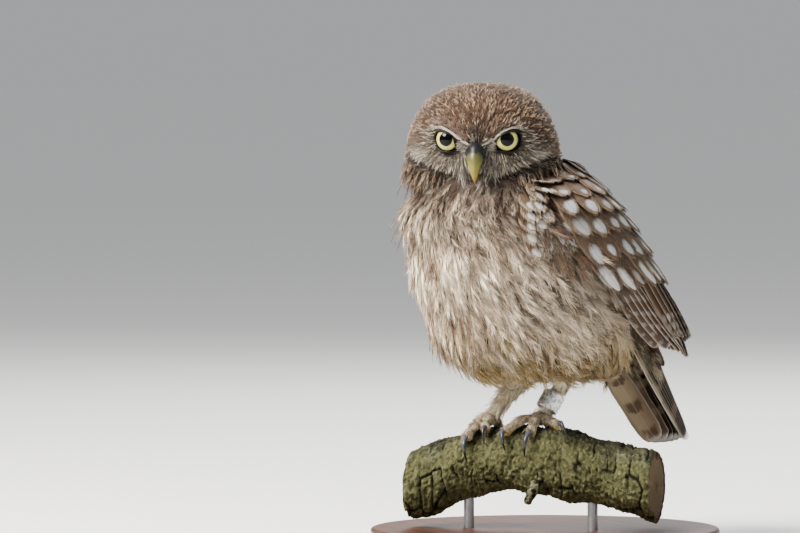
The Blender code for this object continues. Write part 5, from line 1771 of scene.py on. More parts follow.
# %% Eyelids
LID_LIFT, LID_DEEP, LID_CLEAR = 0.28, 0.5, 0.35


def lid_rings(side, upper):
    """A strip of a slightly larger ball, from a slanted edge over the iris to well under the
    feathers, with a rolled rim: rings of a closed flat tube from corner to corner."""
    middle, look, across = eye_frame(side)
    across = across * np.sign(across[0]) * side
    swing = np.linspace(-math.radians(80), math.radians(80), 49)
    corner = np.abs(swing) / swing[-1]
    if upper:
        reach = swing / math.radians(45)
        edge = np.radians(np.maximum(21.0 + 13.5 * reach - 9.5 * reach**2, -12.0 - 4.0 * corner))
        edge = edge * (1 - corner**6) + math.radians(-9) * corner**6
        far = edge + math.radians(24)
        edge = edge - math.radians(10.0 if side > 0 else 36.0) * soft(-0.4, -0.95, reach)
    else:
        edge = -math.radians(46) * (1 - 0.9 * corner**2.6) - math.radians(6) * corner
        far = edge - math.radians(20)
    share = np.array([0.0, 0.06, 0.16, 0.45, 1.0])
    rise = edge[:, None] + (far - edge)[:, None] * share
    rim = 0.35 * bump(share, 0.09)
    outer = EYE_RADIUS + 0.62 * bump(rise, 0.62) * bump(swing[:, None], 0.7) + LID_LIFT + rim

    def place(radius, rise):
        level = radius * np.cos(rise)
        return (
            middle + (level * np.sin(swing)[:, None])[..., None] * across
            + (level * np.cos(swing)[:, None])[..., None] * look
            + (radius * np.sin(rise))[..., None] * UP
        )

    shell = [place(outer, rise), place(outer - LID_DEEP, rise)[:, ::-1]]
    return np.concatenate(shell, axis=1), np.concatenate([share, share[::-1]])


# Painted shade in part: the black at the lids' edge is their own rim; the dark brown beyond it is
# lid skin painted darker as the brow's shade over the upper lid.
lid_finish = Finish("lid_skin", Roughness=0.45, Specular_IOR_Level=0.4)
lid_tone, _, _ = lid_finish.value("edge").parts()
lid_finish.feed(
    "Base Color", lid_finish.mix(lid_tone.step(0.12, 0.5), linear("121010"), linear("332b25"))
)
for side_name, side in SIDES:
    for upper in (True, False):
        rings, share = lid_rings(side, upper)
        title = f"{'upper' if upper else 'lower'}_lid_{side_name}"
        tone = np.tile(np.stack([share, share, share], axis=-1), (rings.shape[0], 1))
        tone = np.vstack([tone, [[1, 1, 1]], [[1, 1, 1]]])
        piece = ring_piece(title, rings, lid_finish.material, from_head, edge=tone)
        dress(piece, "iris")

# %% [markdown]
# The pale brows are a crest of tiny feathers, which lies on the upper lids and runs down to the
# bill on both sides. Above it short brown ones close the gap to the crown, and a few stiff ones
# from the bridge reach over the inner corner of each eye. They are rooted where a line from in
# front meets the face, on the lid over an eye and on the skin elsewhere.

# %% Brows
front_places = to_head(skin_points)
front_places = front_places[(front_places[:, 1] < -8.0) & (front_places[:, 2] > 165.0)]
front_tree = search_tree(front_places[:, [0, 2, 1]] * np.array([1.0, 1.0, 0.0]))


def on_face(x, z):
    """How far forward the face stands at this place of the head's frame."""
    found = [front_tree.find((a, b, 0.0))[1] for a, b in zip(x, z)]
    inside = (EYE_RADIUS + LID_LIFT + LID_CLEAR) ** 2 - (np.abs(x) - EYE_SPREAD) ** 2
    inside = inside - (z - EYE_HEIGHT) ** 2
    lid = np.where(inside > 0, -EYE_DEPTH - np.sqrt(np.maximum(inside, 0)), 0.0)
    return np.minimum(front_places[found, 1], lid)


def brow_strands(over, across, long, sweep, tones, count, seed):
    """Single barbs rooted over the brow line, between two heights and two distances aside."""
    draw = np.random.default_rng(seed)
    x = draw.uniform(*across, count)
    z = brow_line(x) + draw.uniform(*over, count)
    hand = np.where(np.arange(count) % 2, 1.0, -1.0)
    slope = brow_line(x + 0.5) - brow_line(x - 0.5)
    ways = unit(np.stack([hand, 0 * x, slope + sweep], axis=-1)) + draw.normal(0, 0.16, (count, 3))
    start = np.stack([hand * x, 0 * x, z], axis=-1)
    last = start + ways * long * draw.uniform(0.7, 1.25, (count, 1))
    start[:, 1] = on_face(start[:, 0], start[:, 2])
    last[:, 1] = on_face(last[:, 0], last[:, 2]) - draw.uniform(0.3, 1.0, count)
    middle = 0.5 * (start + last)
    middle[:, 1] = np.minimum(on_face(middle[:, 0], middle[:, 2]) - 0.45, middle[:, 1])
    tone = blend(tones[0] + 0 * x[:, None], tones[1], draw.uniform(size=count))
    tone = np.clip(tone * draw.uniform(0.8, 1.15, (count, 1)), 0, 1)
    return np.stack([start, middle, last], axis=1), np.repeat(tone[:, None], 3, axis=1)


BROW_ROWS_OF_BARBS = [
    ((-0.3, 0.4), (2.4, 20.0), 2.4, 0.1, (FACE_PALE * 0.85, FACE_PALE * 0.4), 560, 501),
    ((0.7, 3.6), (3.0, 21.0), 3.0, 0.9, (CROWN * 0.75, CROWN_DARK * 0.7), 1300, 502),
    ((-3.4, 0.0), (4.6, 6.8), 2.9, -1.0, (FACE_PALE * 0.8, FACE_DARK), 380, 503)
]
strands = zip(*(brow_strands(*row) for row in BROW_ROWS_OF_BARBS))
paths, colours = map(np.concatenate, strands)
paths = from_head(paths)
ups = unit(np.array([0.0, -1.0, 0.35])) @ head_turning.T + 0 * paths[:, 0]
radii = np.tile([0.1, 0.085], (len(paths), 1))
piece = strand_mesh("brow_crest", paths, radii, ups, colours, unwrap_head(paths[:, 0]))
dress(piece, "down_head")

# %% [markdown]
# The bill is horn: a hooked upper half that springs from a dark, swollen cere with a nostril on
# each side, and a short lower half tucked under it. Both are ovals carried along a path in the
# head's mid-plane, drawn in to a keel along the top.

# %% Bill
BILL_PATH = np.array(
    [
        [0, -25.0, 182.6], [0, -29.5, 184.0], [0, -33.4, 183.6], [0, -35.9, 180.8],
        [0, -36.8, 176.8], [0, -36.3, 172.9], [0, -35.2, 170.2]
    ]
)
BILL_WIDTH = np.array([4.2, 4.5, 4.5, 3.9, 2.7, 1.4, 0.25])
BILL_DEPTH = np.array([3.6, 3.9, 4.1, 3.5, 2.5, 1.3, 0.25])
JAW_PATH = np.array(
    [[0, -22.0, 176.6], [0, -25.6, 176.2], [0, -28.2, 175.6], [0, -30.2, 174.8]], float
)
JAW_WIDTH, JAW_DEPTH = np.array([2.6, 2.3, 1.6, 0.5]), np.array([2.0, 1.8, 1.2, 0.4])
# Painted shade: the lower half of the bill takes the dark of the cere, as the shade under the
# hooked upper half.
JAW_SHADE_TONE = 0.38
NOSTRIL = np.array([3.7, -34.6, 184.2])


def horn_rings(path, width, depth, samples, around, keel):
    """Ovals about a path, width across and depth within the mid-plane. keel narrows their front."""
    at = np.linspace(0, len(path) - 1, samples)
    middle = along_rows(path, at)
    wide, deep = along_rows(width[:, None], at), along_rows(depth[:, None], at)
    heading = unit(np.gradient(middle, axis=0))
    across = np.array([1.0, 0.0, 0.0])
    over = np.cross(across, heading)
    turn = circle(around)
    narrowed = np.cos(turn) * (1 - keel * np.clip(-np.sin(turn), 0, 1) ** 1.5)
    return (
        middle[:, None] + (wide * narrowed)[..., None] * across
        + (deep * np.sin(turn))[..., None] * over[:, None]
    )


def horn_finish():
    """Dark at the root of the bill and yellow towards its tip, with the nostrils painted near black
    as the shade inside them.
    """
    made = Finish("bill_horn", Specular_IOR_Level=0.5)
    along, nostril, _ = made.value("horn").parts()
    cloud = made.noise(made.place(), 420.0, 3.0)
    at = along + (cloud - 0.5) * 0.09
    horn = made.ramp(
        at, (0.36, linear("18161a")), (1.0, linear("86661c")), (0.42, linear("272620")),
        (0.49, linear("515030")), (0.62, linear("6a6732")), (0.82, linear("7f7028"))
    )
    # Painted shade: the nostrils are near black, as the shade inside their holes.
    colour = made.mix(nostril, horn, linear("0c0b0b"))
    made.feed("Base Color", colour)
    made.feed("Roughness", 0.5 - along * 0.22)
    grain = made.noise(made.scaled(made.place(), (1.0, 1.0, 0.35)), 1500.0, 3.0)
    return made.relief(grain, 0.00012, 0.5).material


bill_finish = horn_finish()
SAMPLES, AROUND = 64, 44
rings = horn_rings(BILL_PATH, BILL_WIDTH, BILL_DEPTH, SAMPLES, AROUND, 0.3)
share = np.linspace(0, 1, SAMPLES)[:, None]
middle = rings.mean(1, keepdims=True)
swell = 1 + 0.09 * bump(share - 0.27, 0.07) - 0.07 * bump(share - 0.40, 0.05)
rings = middle + (rings - middle) * swell[..., None]
near = sum(
    bump(np.linalg.norm(rings - NOSTRIL * np.array([k, 1, 1]), axis=-1), 1.25) for k in (-1, 1)
)
rings = rings + (middle - rings) * (0.32 * near)[..., None]
tone = np.stack([share + 0 * near, np.clip(near * 1.5 - 0.35, 0, 1), near], axis=-1).reshape(-1, 3)
tone = np.vstack([tone, [[0, 0, 0]], [[1, 0, 0]]])
piece = ring_piece("bill_hook", rings, bill_finish, from_head, horn=tone)
dress(piece, "bill_horn", "bill_upper")
rings = horn_rings(JAW_PATH, JAW_WIDTH, JAW_DEPTH, 24, 32, 0.0)
tone = np.broadcast_to(np.array([JAW_SHADE_TONE, 0.0, 0.0]), ring_points(rings).shape)
piece = ring_piece("bill_jaw", rings, bill_finish, from_head, horn=tone)
dress(piece, "bill_horn", "bill_lower")

# %% [markdown]
# The perch is a short piece of branch. Its bark is a grid that runs along the branch and round it:
# the radius has slow lumps, ridges that run round the branch, a network of cracks and fine grain.
# The same numbers colour it, so cracks are painted near black as the shade deep in them, crests are
# pale, the moss keeps to the lower front and the top is painted darker as the shadow of the owl
# above it. The two ends are sawn and show wood.

# %% Branch
PERCH_MIDDLE = np.array([0.0, -17.9, 0.0])
PERCH_ALONG, PERCH_FRONT = np.array([0.783, 0.622, 0.0]), np.array([0.622, -0.783, 0.0])
PERCH_ROWS = np.array(
    [
        [-50, 26.2, 16.6], [-39, 29.6, 17.0], [-29, 34.2, 16.0], [-15, 38.6, 15.3], [0, 39.8, 14.9],
        [15, 39.2, 15.8], [27, 37.4, 16.6], [46, 33.4, 14.9], [60, 30.4, 16.0], [69, 28.2, 16.8],
    ]
)
BARK_CLEAR = 0.75
BARK_RADIUS = 15.6


def off_bark(turn):
    return np.cos(turn)[..., None] * UP + np.sin(turn)[..., None] * PERCH_FRONT


def perch_point(place, turn, lift=0.0):
    """A point over the bark: turn 0 is the top, and it grows down the front, in radians."""
    place, turn = np.broadcast_arrays(np.asarray(place, float), np.asarray(turn, float))
    rows = rows_at(PERCH_ROWS, place)
    middle = PERCH_MIDDLE + place[..., None] * PERCH_ALONG + rows[..., 1:2] * UP
    lump = 0.55 * (
        np.sin(place * 0.29 + 2.0 * turn) + 0.7 * np.sin(place * 0.13 - 3.0 * turn + 1.0)
    )
    return middle + (rows[..., 2] + lump + lift)[..., None] * off_bark(turn)


def cracks(points, size, seed):
    """How near a place is to the border between the two nearest of a set of random cells."""
    cells = np.floor(points / size)
    best = np.full((2, len(points)), 1e9)
    for shift in np.ndindex(3, 3, 3):
        cell = cells + np.array(shift) - 1
        centre = np.stack([cell_random(cell.astype(int), seed + k) for k in range(3)], axis=-1)
        away = np.linalg.norm((cell + 0.5 + 0.45 * centre) - points / size, axis=-1)
        best = np.sort(np.vstack([best, away[None]]), axis=0)[:2]
    return best[1] - best[0]


def bark_height(place, turn):
    """How far the bark stands over the plain branch, with its crack and moss shares and how pale
    it is, which is painted darker on top as the owl's shadow.
    """
    round_xyz = np.stack([place, BARK_RADIUS * np.sin(turn), BARK_RADIUS * np.cos(turn)], axis=-1)
    warp = 2.6 * np.stack(
        [noise(round_xyz, 9.0, 61), noise(round_xyz, 9.0, 62), 0 * place], axis=-1
    )
    bent = round_xyz + warp
    ridged = 1 - np.abs(layered(bent * np.array([1.0, 0.34, 0.34]), 2.0, 3, 63)) * 2.0
    open_here = soft(-0.12, 0.22, noise(round_xyz, 7.0, 64))
    crack = cracks(bent * np.array([1.0, 0.42, 0.42]), 6.4, 65)
    open_crack = soft(0.13, 0.0, crack) * open_here
    small_here = soft(-0.2, 0.3, noise(round_xyz, 4.0, 66))
    small = soft(0.17, 0.0, cracks(bent * np.array([1.0, 0.5, 0.5]), 2.5, 68)) * small_here
    grain = layered(round_xyz, 1.1, 3, 71)
    moss = np.sin(turn) * 0.8 + np.maximum(turn, 0) * 0.4 + 0.5 * layered(round_xyz, 9.0, 2, 73)
    moss = soft(0.25, 1.15, moss)
    under = soft(1.7, 2.4, np.abs(turn))
    lumps = noise(round_xyz, 8.0, 74)
    height = 0.3 + 0.5 * lumps + 0.4 * ridged - 1.35 * open_crack - 0.4 * small + 0.55 * grain
    height = height + 0.45 * moss * (noise(round_xyz, 0.8, 77) + 0.5 * noise(round_xyz, 2.0, 78))
    paler_with_top_shadow = ridged * 0.35 + 0.6 * grain + 0.2 * lumps + 0.3 * under
    # Painted shadow: the top of the branch is made darker, as the shade that the owl casts on it.
    paler_with_top_shadow = paler_with_top_shadow - 1.05 * soft(1.0, 0.2, np.abs(turn))
    marks = [np.clip(open_crack + 0.3 * small, 0, 1), moss, paler_with_top_shadow]
    return height - 0.35, np.stack(marks, axis=-1)


def bark_finish():
    """Bark with moss on its lower front. The sawn ends show wood with growth rings."""
    made = Finish("mossy_bark", Roughness=0.88, Specular_IOR_Level=0.2)
    crack, moss, crest_and_top_shadow = made.value("bark").parts()
    sawn, share, _ = made.value("cap").parts()
    along, around, _ = made.value("wrap").parts()
    fine, broad = made.noise(made.place(), 1900.0, 5.0, 0.7), made.noise(made.place(), 130.0, 3.0)
    slanted = made.vector(along + around * 0.55 + broad * 3.0, around * 0.3)
    flakes = made.noise(slanted, 1.05, 4.0, 0.62)
    creases = (flakes - 0.5).math("ABSOLUTE").step(0.05, 0.0)
    grey = made.ramp(
        crest_and_top_shadow * 0.3 + fine * 0.75 + flakes * 0.42, (0.2, linear("2f2e24")),
        (1.0, linear("8f8e78")), (0.5, linear("535342")), (0.75, linear("6e6f5a"))
    )
    grey = made.mix(broad.step(0.45, 0.65) * 0.4, grey, linear("4b4c36"))
    green = made.ramp(
        fine * 0.85 + crest_and_top_shadow * 0.25 + flakes * 0.3, (0.2, linear("2c2b1f")),
        (1.0, linear("8e8c67")), (0.5, linear("525237")), (0.75, linear("6c6b49"))
    )
    cover = moss * (fine * 0.9 + 0.35).step(0.45, 0.75)
    colour = made.mix(cover * 0.8, grey, green)
    # Painted shade: open cracks and the creases between flakes go near black, as the shade deep in
    # them.
    colour = made.mix((crack + creases * 0.42).step(0.0, 1.0) * 0.88, colour, linear("120f0b"))
    rings = ((share * 13.0 + broad * 1.6) * math.tau).math("SINE")
    wood = made.mix((rings * 0.5 + fine * 0.6).step(0.1, 0.9), linear("5c4e3d"), linear("82735a"))
    wood = made.mix(share.step(0.84, 0.9), wood, linear("4a3a2b"))
    made.feed("Base Color", made.mix(sawn.step(0.4, 0.6), colour, wood))
    return made.relief(fine * 0.5 + flakes - creases * 0.5, 0.0009, 0.8).material


ALONG_COUNT, AROUND_COUNT, CAP_COUNT = 250, 186, 14
first_place, last_place = PERCH_ROWS[0, 0], PERCH_ROWS[-1, 0]
place = np.linspace(first_place, last_place, ALONG_COUNT)[:, None] + np.zeros((1, AROUND_COUNT))
turn = np.linspace(-math.pi, math.pi, AROUND_COUNT, endpoint=False)[None]
turn = turn + np.zeros((ALONG_COUNT, 1))
height, marks = bark_height(place.ravel(), turn.ravel())
height, marks = height.reshape(place.shape), marks.reshape(*place.shape, 3)
inset = np.minimum(place - first_place, last_place - place)
height = height - 0.8 * np.exp(-inset / 0.5) - 0.25 * np.exp(-inset / 2.0)
bark_rings = perch_point(place, turn, height)


def saw_cap(ring, facing):
    """Rings that close an end: the wood's growth rings stand a little, and fine cracks run out."""
    share = np.linspace(0.96, 0.04, CAP_COUNT)[:, None, None]
    middle = ring.mean(0)
    wavy = 0.12 * np.sin(share[..., 0] * 60.0) + 0.1 * noise(ring, 2.0, 91)
    inward = middle + (ring - middle) * share
    return inward + (wavy - 0.25 * (share[..., 0] < 0.9))[..., None] * facing


start_cap = saw_cap(bark_rings[0], -PERCH_ALONG)[::-1]
end_cap = saw_cap(bark_rings[-1], PERCH_ALONG)
all_rings = np.concatenate([start_cap, bark_rings, end_cap])
marks = np.concatenate([np.zeros_like(start_cap), marks, np.zeros_like(end_cap)])
caps = np.zeros((len(all_rings), AROUND_COUNT, 3))
share = np.linspace(0.96, 0.04, CAP_COUNT)[:, None]
caps[:CAP_COUNT, :, 0], caps[-CAP_COUNT:, :, 0] = 1.0, 1.0
caps[:CAP_COUNT, :, 1], caps[-CAP_COUNT:, :, 1] = share[::-1], share
wrap = np.stack([place, turn * BARK_RADIUS, 0 * place], axis=-1)
wrap = np.concatenate([wrap[:1].repeat(CAP_COUNT, 0), wrap, wrap[-1:].repeat(CAP_COUNT, 0)])
wrap = wrap.reshape(-1, 3)
piece = ring_piece(
    "mossy_branch", all_rings, bark_finish(),
    bark=np.vstack([marks.reshape(-1, 3), [[0, 0, 0]] * 2]),
    cap=np.vstack([caps.reshape(-1, 3), [[1.0, 0.0, 0.0]] * 2]),
    wrap=np.vstack([wrap, wrap[:1], wrap[-1:]])
)
dress(piece, "bark", "perch")
print("bark's relief", round(float(height.min()), 2), "to", round(float(height.max()), 2))

# %% Twig
TWIG_ROWS, TWIG_AROUND, TWIG_RADIUS = 34, 48, 2.4
part = np.linspace(0, 1, TWIG_ROWS)
twig_path = perch_point(16.0 - 5.0 * part, np.radians(122.0 + 16.0 * part), -4.0 + 14.0 * part)
twig_path = twig_path + 0.5 * noise(twig_path, 4.0, 95)[:, None] * UP
twig_radius = TWIG_RADIUS * np.interp(part, [0, 0.3, 0.7, 0.93, 1], [1.35, 1.1, 0.95, 0.85, 0.45])
twig = tube_rings(twig_path, twig_radius, TWIG_AROUND)
rough = layered(twig.reshape(-1, 3), 1.6, 3, 96).reshape(twig.shape[:2])
core = twig.mean(1, keepdims=True)
twig = core + (twig - core) * (1 + 0.22 * rough[..., None])
# Painted shade: where the twig's surface sinks in, its first mark turns the bark near black as
# shade.
shades = np.stack([soft(0.1, -0.4, rough), 0.4 + 0 * rough, 0.4 + rough], axis=-1).reshape(-1, 3)
shades = np.vstack([shades, [[0, 0, 0.3]] * 2])
wrap = np.vstack([twig.reshape(-1, 3), twig[0, :1], twig[-1, :1]])
bark = bpy.data.materials["mossy_bark"]
piece = ring_piece("broken_twig", twig, bark, bark=shades, cap=np.zeros_like(shades), wrap=wrap)
dress(piece, "bark")
# %% [markdown]
# A foot is one skin over the palm and four toes, melted together like the body, with short
# bristle feathers on top and bare ochre pads against the bark. The claws are horn and stay apart.

# %% Feet
PALM_PLACE = {"left": 12.4, "right": -13.2}
PALM_SIZE, PALM_LIFT = np.array([5.0, 4.6, 3.4]), 3.9
CLAW_RADIUS, CLAW_FLAT = 1.15, 1.15
TOE_VOXEL, TOE_SMOOTHING, TOE_BRISTLES = 0.42, 3, 1500
TOE_SWELLING = np.array([[0.95, 0.95, 0.86, 1.0, 0.92, 1.08, 0.7]]).T
TOES = {
    "left": {
        "inner": (-2.0, 43.0, 2.5, 2.1, 0.0, 73.0), "middle": (11.0, 43.0, 2.6, 2.2, 9.4, 82.0),
        "outer": (24.0, 23.0, 2.4, 2.0, 29.5, 42.0), "back": (15.0, -58.0, 2.4, 2.0, 14.5, -98.0)
    },
    "right": {
        "inner": (-11.8, 30.0, 2.5, 2.1, -10.6, 60.0),
        "middle": (-19.4, 50.0, 2.6, 2.2, -18.4, 84.0),
        "outer": (-24.5, -34.0, 2.4, 2.0, -27.0, -70.0),
        "back": (-10.0, -60.0, 2.4, 2.0, -10.5, -100.0)
    }
}


def toe_rings(side, toe):
    """From the palm over the bark to the toe's end, with swellings for the joints and pads."""
    end_place, end_turn, root, tip = TOES[side][toe][:4]
    part = np.linspace(0.0, 1.02, 40)
    place = PALM_PLACE[side] + (end_place - PALM_PLACE[side]) * part
    turn = math.radians(end_turn) * part
    radii = root + (tip - root) * part
    knuckle = 1.1 * np.sin(math.pi * np.clip(part * 1.25, 0, 1)) ** 2
    path = perch_point(place, turn, radii + BARK_CLEAR + knuckle)
    radii = radii * along_rows(TOE_SWELLING, part / 1.02 * 6)[:, 0]
    return tube_rings(path, radii, 24, side=off_bark(turn))


def pad_rings(side, toe):
    """The fleshy ball under the last joint of a toe, which bulges past it on both sides."""
    end_place, end_turn = TOES[side][toe][:2]
    place = PALM_PLACE[side] + (end_place - PALM_PLACE[side]) * 0.9
    centre = perch_point(place, math.radians(end_turn) * 0.9, 1.75 + BARK_CLEAR * 0.5)
    return ball_rings(centre, np.array([2.6, 2.4, 2.0]))


def ball_rings(centre, size):
    polar = np.linspace(0.1, math.pi - 0.1, 16)[:, None]
    turn = circle(24)[None]
    ball = np.stack(
        [np.sin(polar) * np.cos(turn), np.sin(polar) * np.sin(turn), np.cos(polar) + 0 * turn],
        axis=-1
    )
    return centre + size * ball[::-1]


def claw_rings(side, toe, samples, around):
    """From the toe's end, arched off the bark and down again to the tip. A little flat at the
    sides."""
    end_place, end_turn, _, tip, claw_place, claw_turn = TOES[side][toe]
    part = np.linspace(0.0, 1.0, samples)
    place = end_place + (claw_place - end_place) * part
    turn = np.radians(end_turn + (claw_turn - end_turn) * part)
    lift = (tip + 0.5) * (1 - part) + 3.1 * np.sin(math.pi * part) + 0.4
    radii = CLAW_RADIUS * (1 - part) ** 0.75 + 0.1
    path = perch_point(place, turn, lift + BARK_CLEAR)
    return tube_rings(path, radii, around, CLAW_FLAT, off_bark(turn)), part


foot_finish = plumage_finish("toe_skin", 0.6, 1400.0)
TOE_BROWN, TOE_BUFF = linear("756754"), linear("ada08a")
TOE_DARK, PAD = linear("3c3025"), linear("9c7d22")


def foot_shade(points, side):
    """Sandy and scaly above, dark between the scales, ochre on the pads."""
    fine, broad = noise(points, 0.9, 81), noise(points, 2.6, 82)
    colour = blend(TOE_BROWN + 0 * points, TOE_BUFF, np.clip(0.5 + fine, 0, 1))
    colour = blend(colour, TOE_DARK, np.clip(0.9 * soft(0.15, 0.6, broad * 0.8 + fine * 0.5), 0, 1))
    pad = np.zeros(len(points))
    for toe in TOES[side]:
        centre = pad_rings(side, toe).mean((0, 1))
        pad = np.maximum(pad, soft(3.3, 2.2, np.linalg.norm(points - centre, axis=1)))
    offset = points - PERCH_MIDDLE
    place = offset @ PERCH_ALONG
    turn = np.arctan2(offset @ PERCH_FRONT, points[:, 2] - rows_at(PERCH_ROWS, place)[:, 1])
    low = np.linalg.norm(points - perch_point(place, turn), axis=1)
    return blend(colour, PAD, np.clip(pad * soft(3.4, 2.0, low) + soft(1.4, 0.9, low), 0, 1))


TOE_SHAPE = feather(2.8, 0.5, 16, 0.05, 4, 0.11, 0.6, 0.12, 0.6)
for side_name, _ in SIDES:
    top = perch_point(PALM_PLACE[side_name], 0.0, PALM_LIFT)
    lofts = [ball_rings(top, PALM_SIZE)]
    lofts += [toe_rings(side_name, toe) for toe in TOES[side_name]]
    lofts += [pad_rings(side_name, toe) for toe in TOES[side_name]]
    piece = melted(f"toes_{side_name}", lofts, TOE_VOXEL, TOE_SMOOTHING)
    points, normals, _ = mesh_arrays(piece)
    swell = 0.16 * noise(points, 1.5, 84) + 0.1 * noise(points, 0.8, 85)
    move_points(piece.data, points + normals * swell[:, None])
    colour_points(piece.data, foot_shade(points, side_name))
    piece.data.materials.append(foot_finish)
    dress(piece, "toe_skin", f"foot_{side_name}")
    draw = np.random.default_rng(87)
    chosen = draw.choice(len(points), TOE_BRISTLES, replace=False)
    roots, out = points[chosen], normals[chosen]
    upward = (out @ UP) + 0.6 * (out @ PERCH_FRONT)
    is_pad = np.linalg.norm(foot_shade(roots, side_name) - PAD, axis=1) < 0.1
    kept = (upward > 0.1) & ~is_pad
    roots, out = roots[kept], out[kept]
    ahead = roots - top
    ways = onto_skin(unit(ahead) + np.array([0.0, 0.0, -0.5]), out)
    ground = blend(linear("cfc2a8") + 0 * roots, TOE_BROWN, draw.uniform(size=len(roots)))
    strength = draw.uniform(0.0, 0.6, len(roots))
    tints = ground, TOE_DARK + 0 * ground, strength
    strands = plumes(roots, out, ways, TOE_SHAPE, *tints, 88)
    roots = unwrap_body(strands[0][:, 0])
    dress(strand_mesh(f"toe_bristles_{side_name}", *strands, roots), "toe_skin")

# %% Claws
def talon_finish():
    made = Finish("dark_talon", Roughness=0.22, Specular_IOR_Level=0.6)
    along, _, _ = made.value("horn").parts()
    cloud = made.noise(made.place(), 700.0, 3.0)
    # The horn darkens from its base to a black tip; the pale blue-grey just past the base is a
    # painted highlight, a silver glint.
    colour = made.ramp(
        along + (cloud - 0.5) * 0.25, (0.0, linear("4c463e")), (1.0, linear("0e0d0e")),
        (0.12, linear("5a5c64")), (0.5, linear("33353c")), (0.8, linear("131316"))
    )
    made.feed("Base Color", colour)
    return made.relief(cloud, 0.0001, 0.3).material


talon = talon_finish()
for side_name, _ in SIDES:
    for toe in TOES[side_name]:
        rings, part = claw_rings(side_name, toe, 40, 28)
        tone = np.repeat(np.stack([part, part, part], axis=-1), 28, axis=0)
        tone = np.vstack([tone, [[0, 0, 0]], [[1, 1, 1]]])
        piece = ring_piece(f"talon_{side_name}_{toe}", rings, talon, horn=tone)
        dress(piece, "talon_horn", f"claw_{side_name}_{toe}")

# %% Leg ring
RING_OUTER, RING_WALL, RING_LENGTH, RING_PLACE = 5.35, 0.65, 8.6, 0.36


def leg_band():
    """A rolled strip of metal: a rounded oblong profile carried round the left leg."""
    low, high = LEG["left"]
    axis = unit(high - low)
    across = unit(np.cross(axis, PERCH_ALONG))
    over = np.cross(axis, across)
    centre = low + (high - low) * RING_PLACE
    corner = np.linspace(0, math.pi / 2, 6)
    half, round_off = RING_LENGTH / 2, 0.3
    profile = []
    for quarter, (a, b) in enumerate([(1, 1), (-1, 1), (-1, -1), (1, -1)]):
        angle = corner + quarter * math.pi / 2
        middle = RING_OUTER - RING_WALL / 2 + a * (RING_WALL / 2 - round_off)
        level = b * (half - round_off)
        profile += [
            [middle + round_off * math.cos(t), level + round_off * math.sin(t)] for t in angle
        ]
    profile = np.array(profile)
    turn = circle(144)
    gap = 0.16 * np.exp(-(((turn - math.pi) / 0.03) ** 2))
    radius = profile[None, :, 0] - gap[:, None]
    dent = 0.05 * np.sin(turn * 3 + 1)[:, None]
    around = np.cos(turn)[:, None, None] * across + np.sin(turn)[:, None, None] * over
    return centre + (radius + dent)[..., None] * around + profile[None, :, 1, None] * axis


def worn_metal(name, colour, roughness, stretch, mottle):
    made = Finish(name, Metallic=0.85)
    scratches = made.noise(made.scaled(made.place(), stretch), 190.0, 4.0, 0.7)
    smears = made.noise(made.place(), 800.0, 3.0)
    made.feed("Base Color", made.mix(smears.step(0.46, 0.62) * mottle, colour, colour * 0.35))
    made.feed("Roughness", scratches * 0.3 + smears * 0.15 + (roughness - 0.2))
    return made.relief(scratches + smears, 0.0003, 0.8).material


band = leg_band()
rows, around = band.shape[:2]
index = np.arange(rows * around).reshape(rows, around)
ahead, beside = np.roll(index, -1, axis=0), np.roll(index, -1, axis=1)
quads = np.stack([index, beside, np.roll(beside, -1, axis=0), ahead], axis=-1).reshape(-1, 4)
aluminium = worn_metal("worn_aluminium", linear("e6e6e4"), 0.42, (1.0, 1.0, 0.2), 0.75)
piece = mesh_piece("leg_band", band.reshape(-1, 3), quads, aluminium)
dress(piece, "ring_metal", "leg_ring")

# %% [markdown]
# A plain turned base and two steel rods hold the branch up. The base is a lathe profile with
# rounded edges, stained dark, with the grain of one straight board.

# %% Stand
BASE_RADIUS, BASE_THICKNESS, BASE_ROUNDING = 82.0, 7.0, 1.6
BASE_FOOT, BASE_INNER, BASE_MIDDLE = 0.6, 60.0, 20.0
ROD_RADIUS, ROD_SOCKET, ROD_PLACES = 2.4, 3.5, (-22.0, 38.0)


def wood_finish():
    made = Finish(
        "stained_wood", Roughness=0.36, Specular_IOR_Level=0.5, Coat_Weight=0.15,
        Coat_Roughness=0.25
    )
    place = made.place()
    bent = made.noise(place, 9.0, 2.0)
    x, y, _ = place.parts()
    lines = ((y * 150.0 + bent * 9.0 + x * 6.0) * math.tau / 2.0).math("SINE") * 0.5 + 0.5
    pores = made.noise(made.scaled(place, (0.06, 1.6, 1.0)), 1500.0, 3.0, 0.7)
    share = lines * 0.22 + pores * 0.75
    colour = made.ramp(
        share, (0.2, linear("3a2418")), (1.0, linear("7b5136")), (0.55, linear("573522"))
    )
    made.feed("Base Color", colour)
    made.feed("Roughness", pores * 0.2 + 0.27)
    return made.relief(pores, 0.00012, 0.35).material


def lathe(profile, count):
    """The rings of a profile of radius and height that is turned about the upright."""
    turn, radius = circle(count), profile[:, :1]
    level = [radius * np.cos(turn), radius * np.sin(turn), profile[:, 1:] + 0 * turn]
    return np.stack(level, axis=-1)


corner = np.linspace(0, math.pi / 2, 9)
inner, height = BASE_RADIUS - BASE_ROUNDING, BASE_THICKNESS - BASE_ROUNDING
cos, sin = np.cos(corner), np.sin(corner)
under = [[BASE_MIDDLE, 0.0], [BASE_INNER, 0.0]]
low = [BASE_RADIUS - BASE_FOOT + BASE_FOOT * sin, BASE_FOOT - BASE_FOOT * cos]
high = [inner + BASE_ROUNDING * cos, height + BASE_ROUNDING * sin]
over = [[BASE_INNER, BASE_THICKNESS], [BASE_MIDDLE, BASE_THICKNESS]]
profile = np.vstack([under, np.transpose(low), np.transpose(high), over])
piece = ring_piece("turned_base", lathe(profile, 180), wood_finish())
dress(piece, "base_wood", "stand_base")

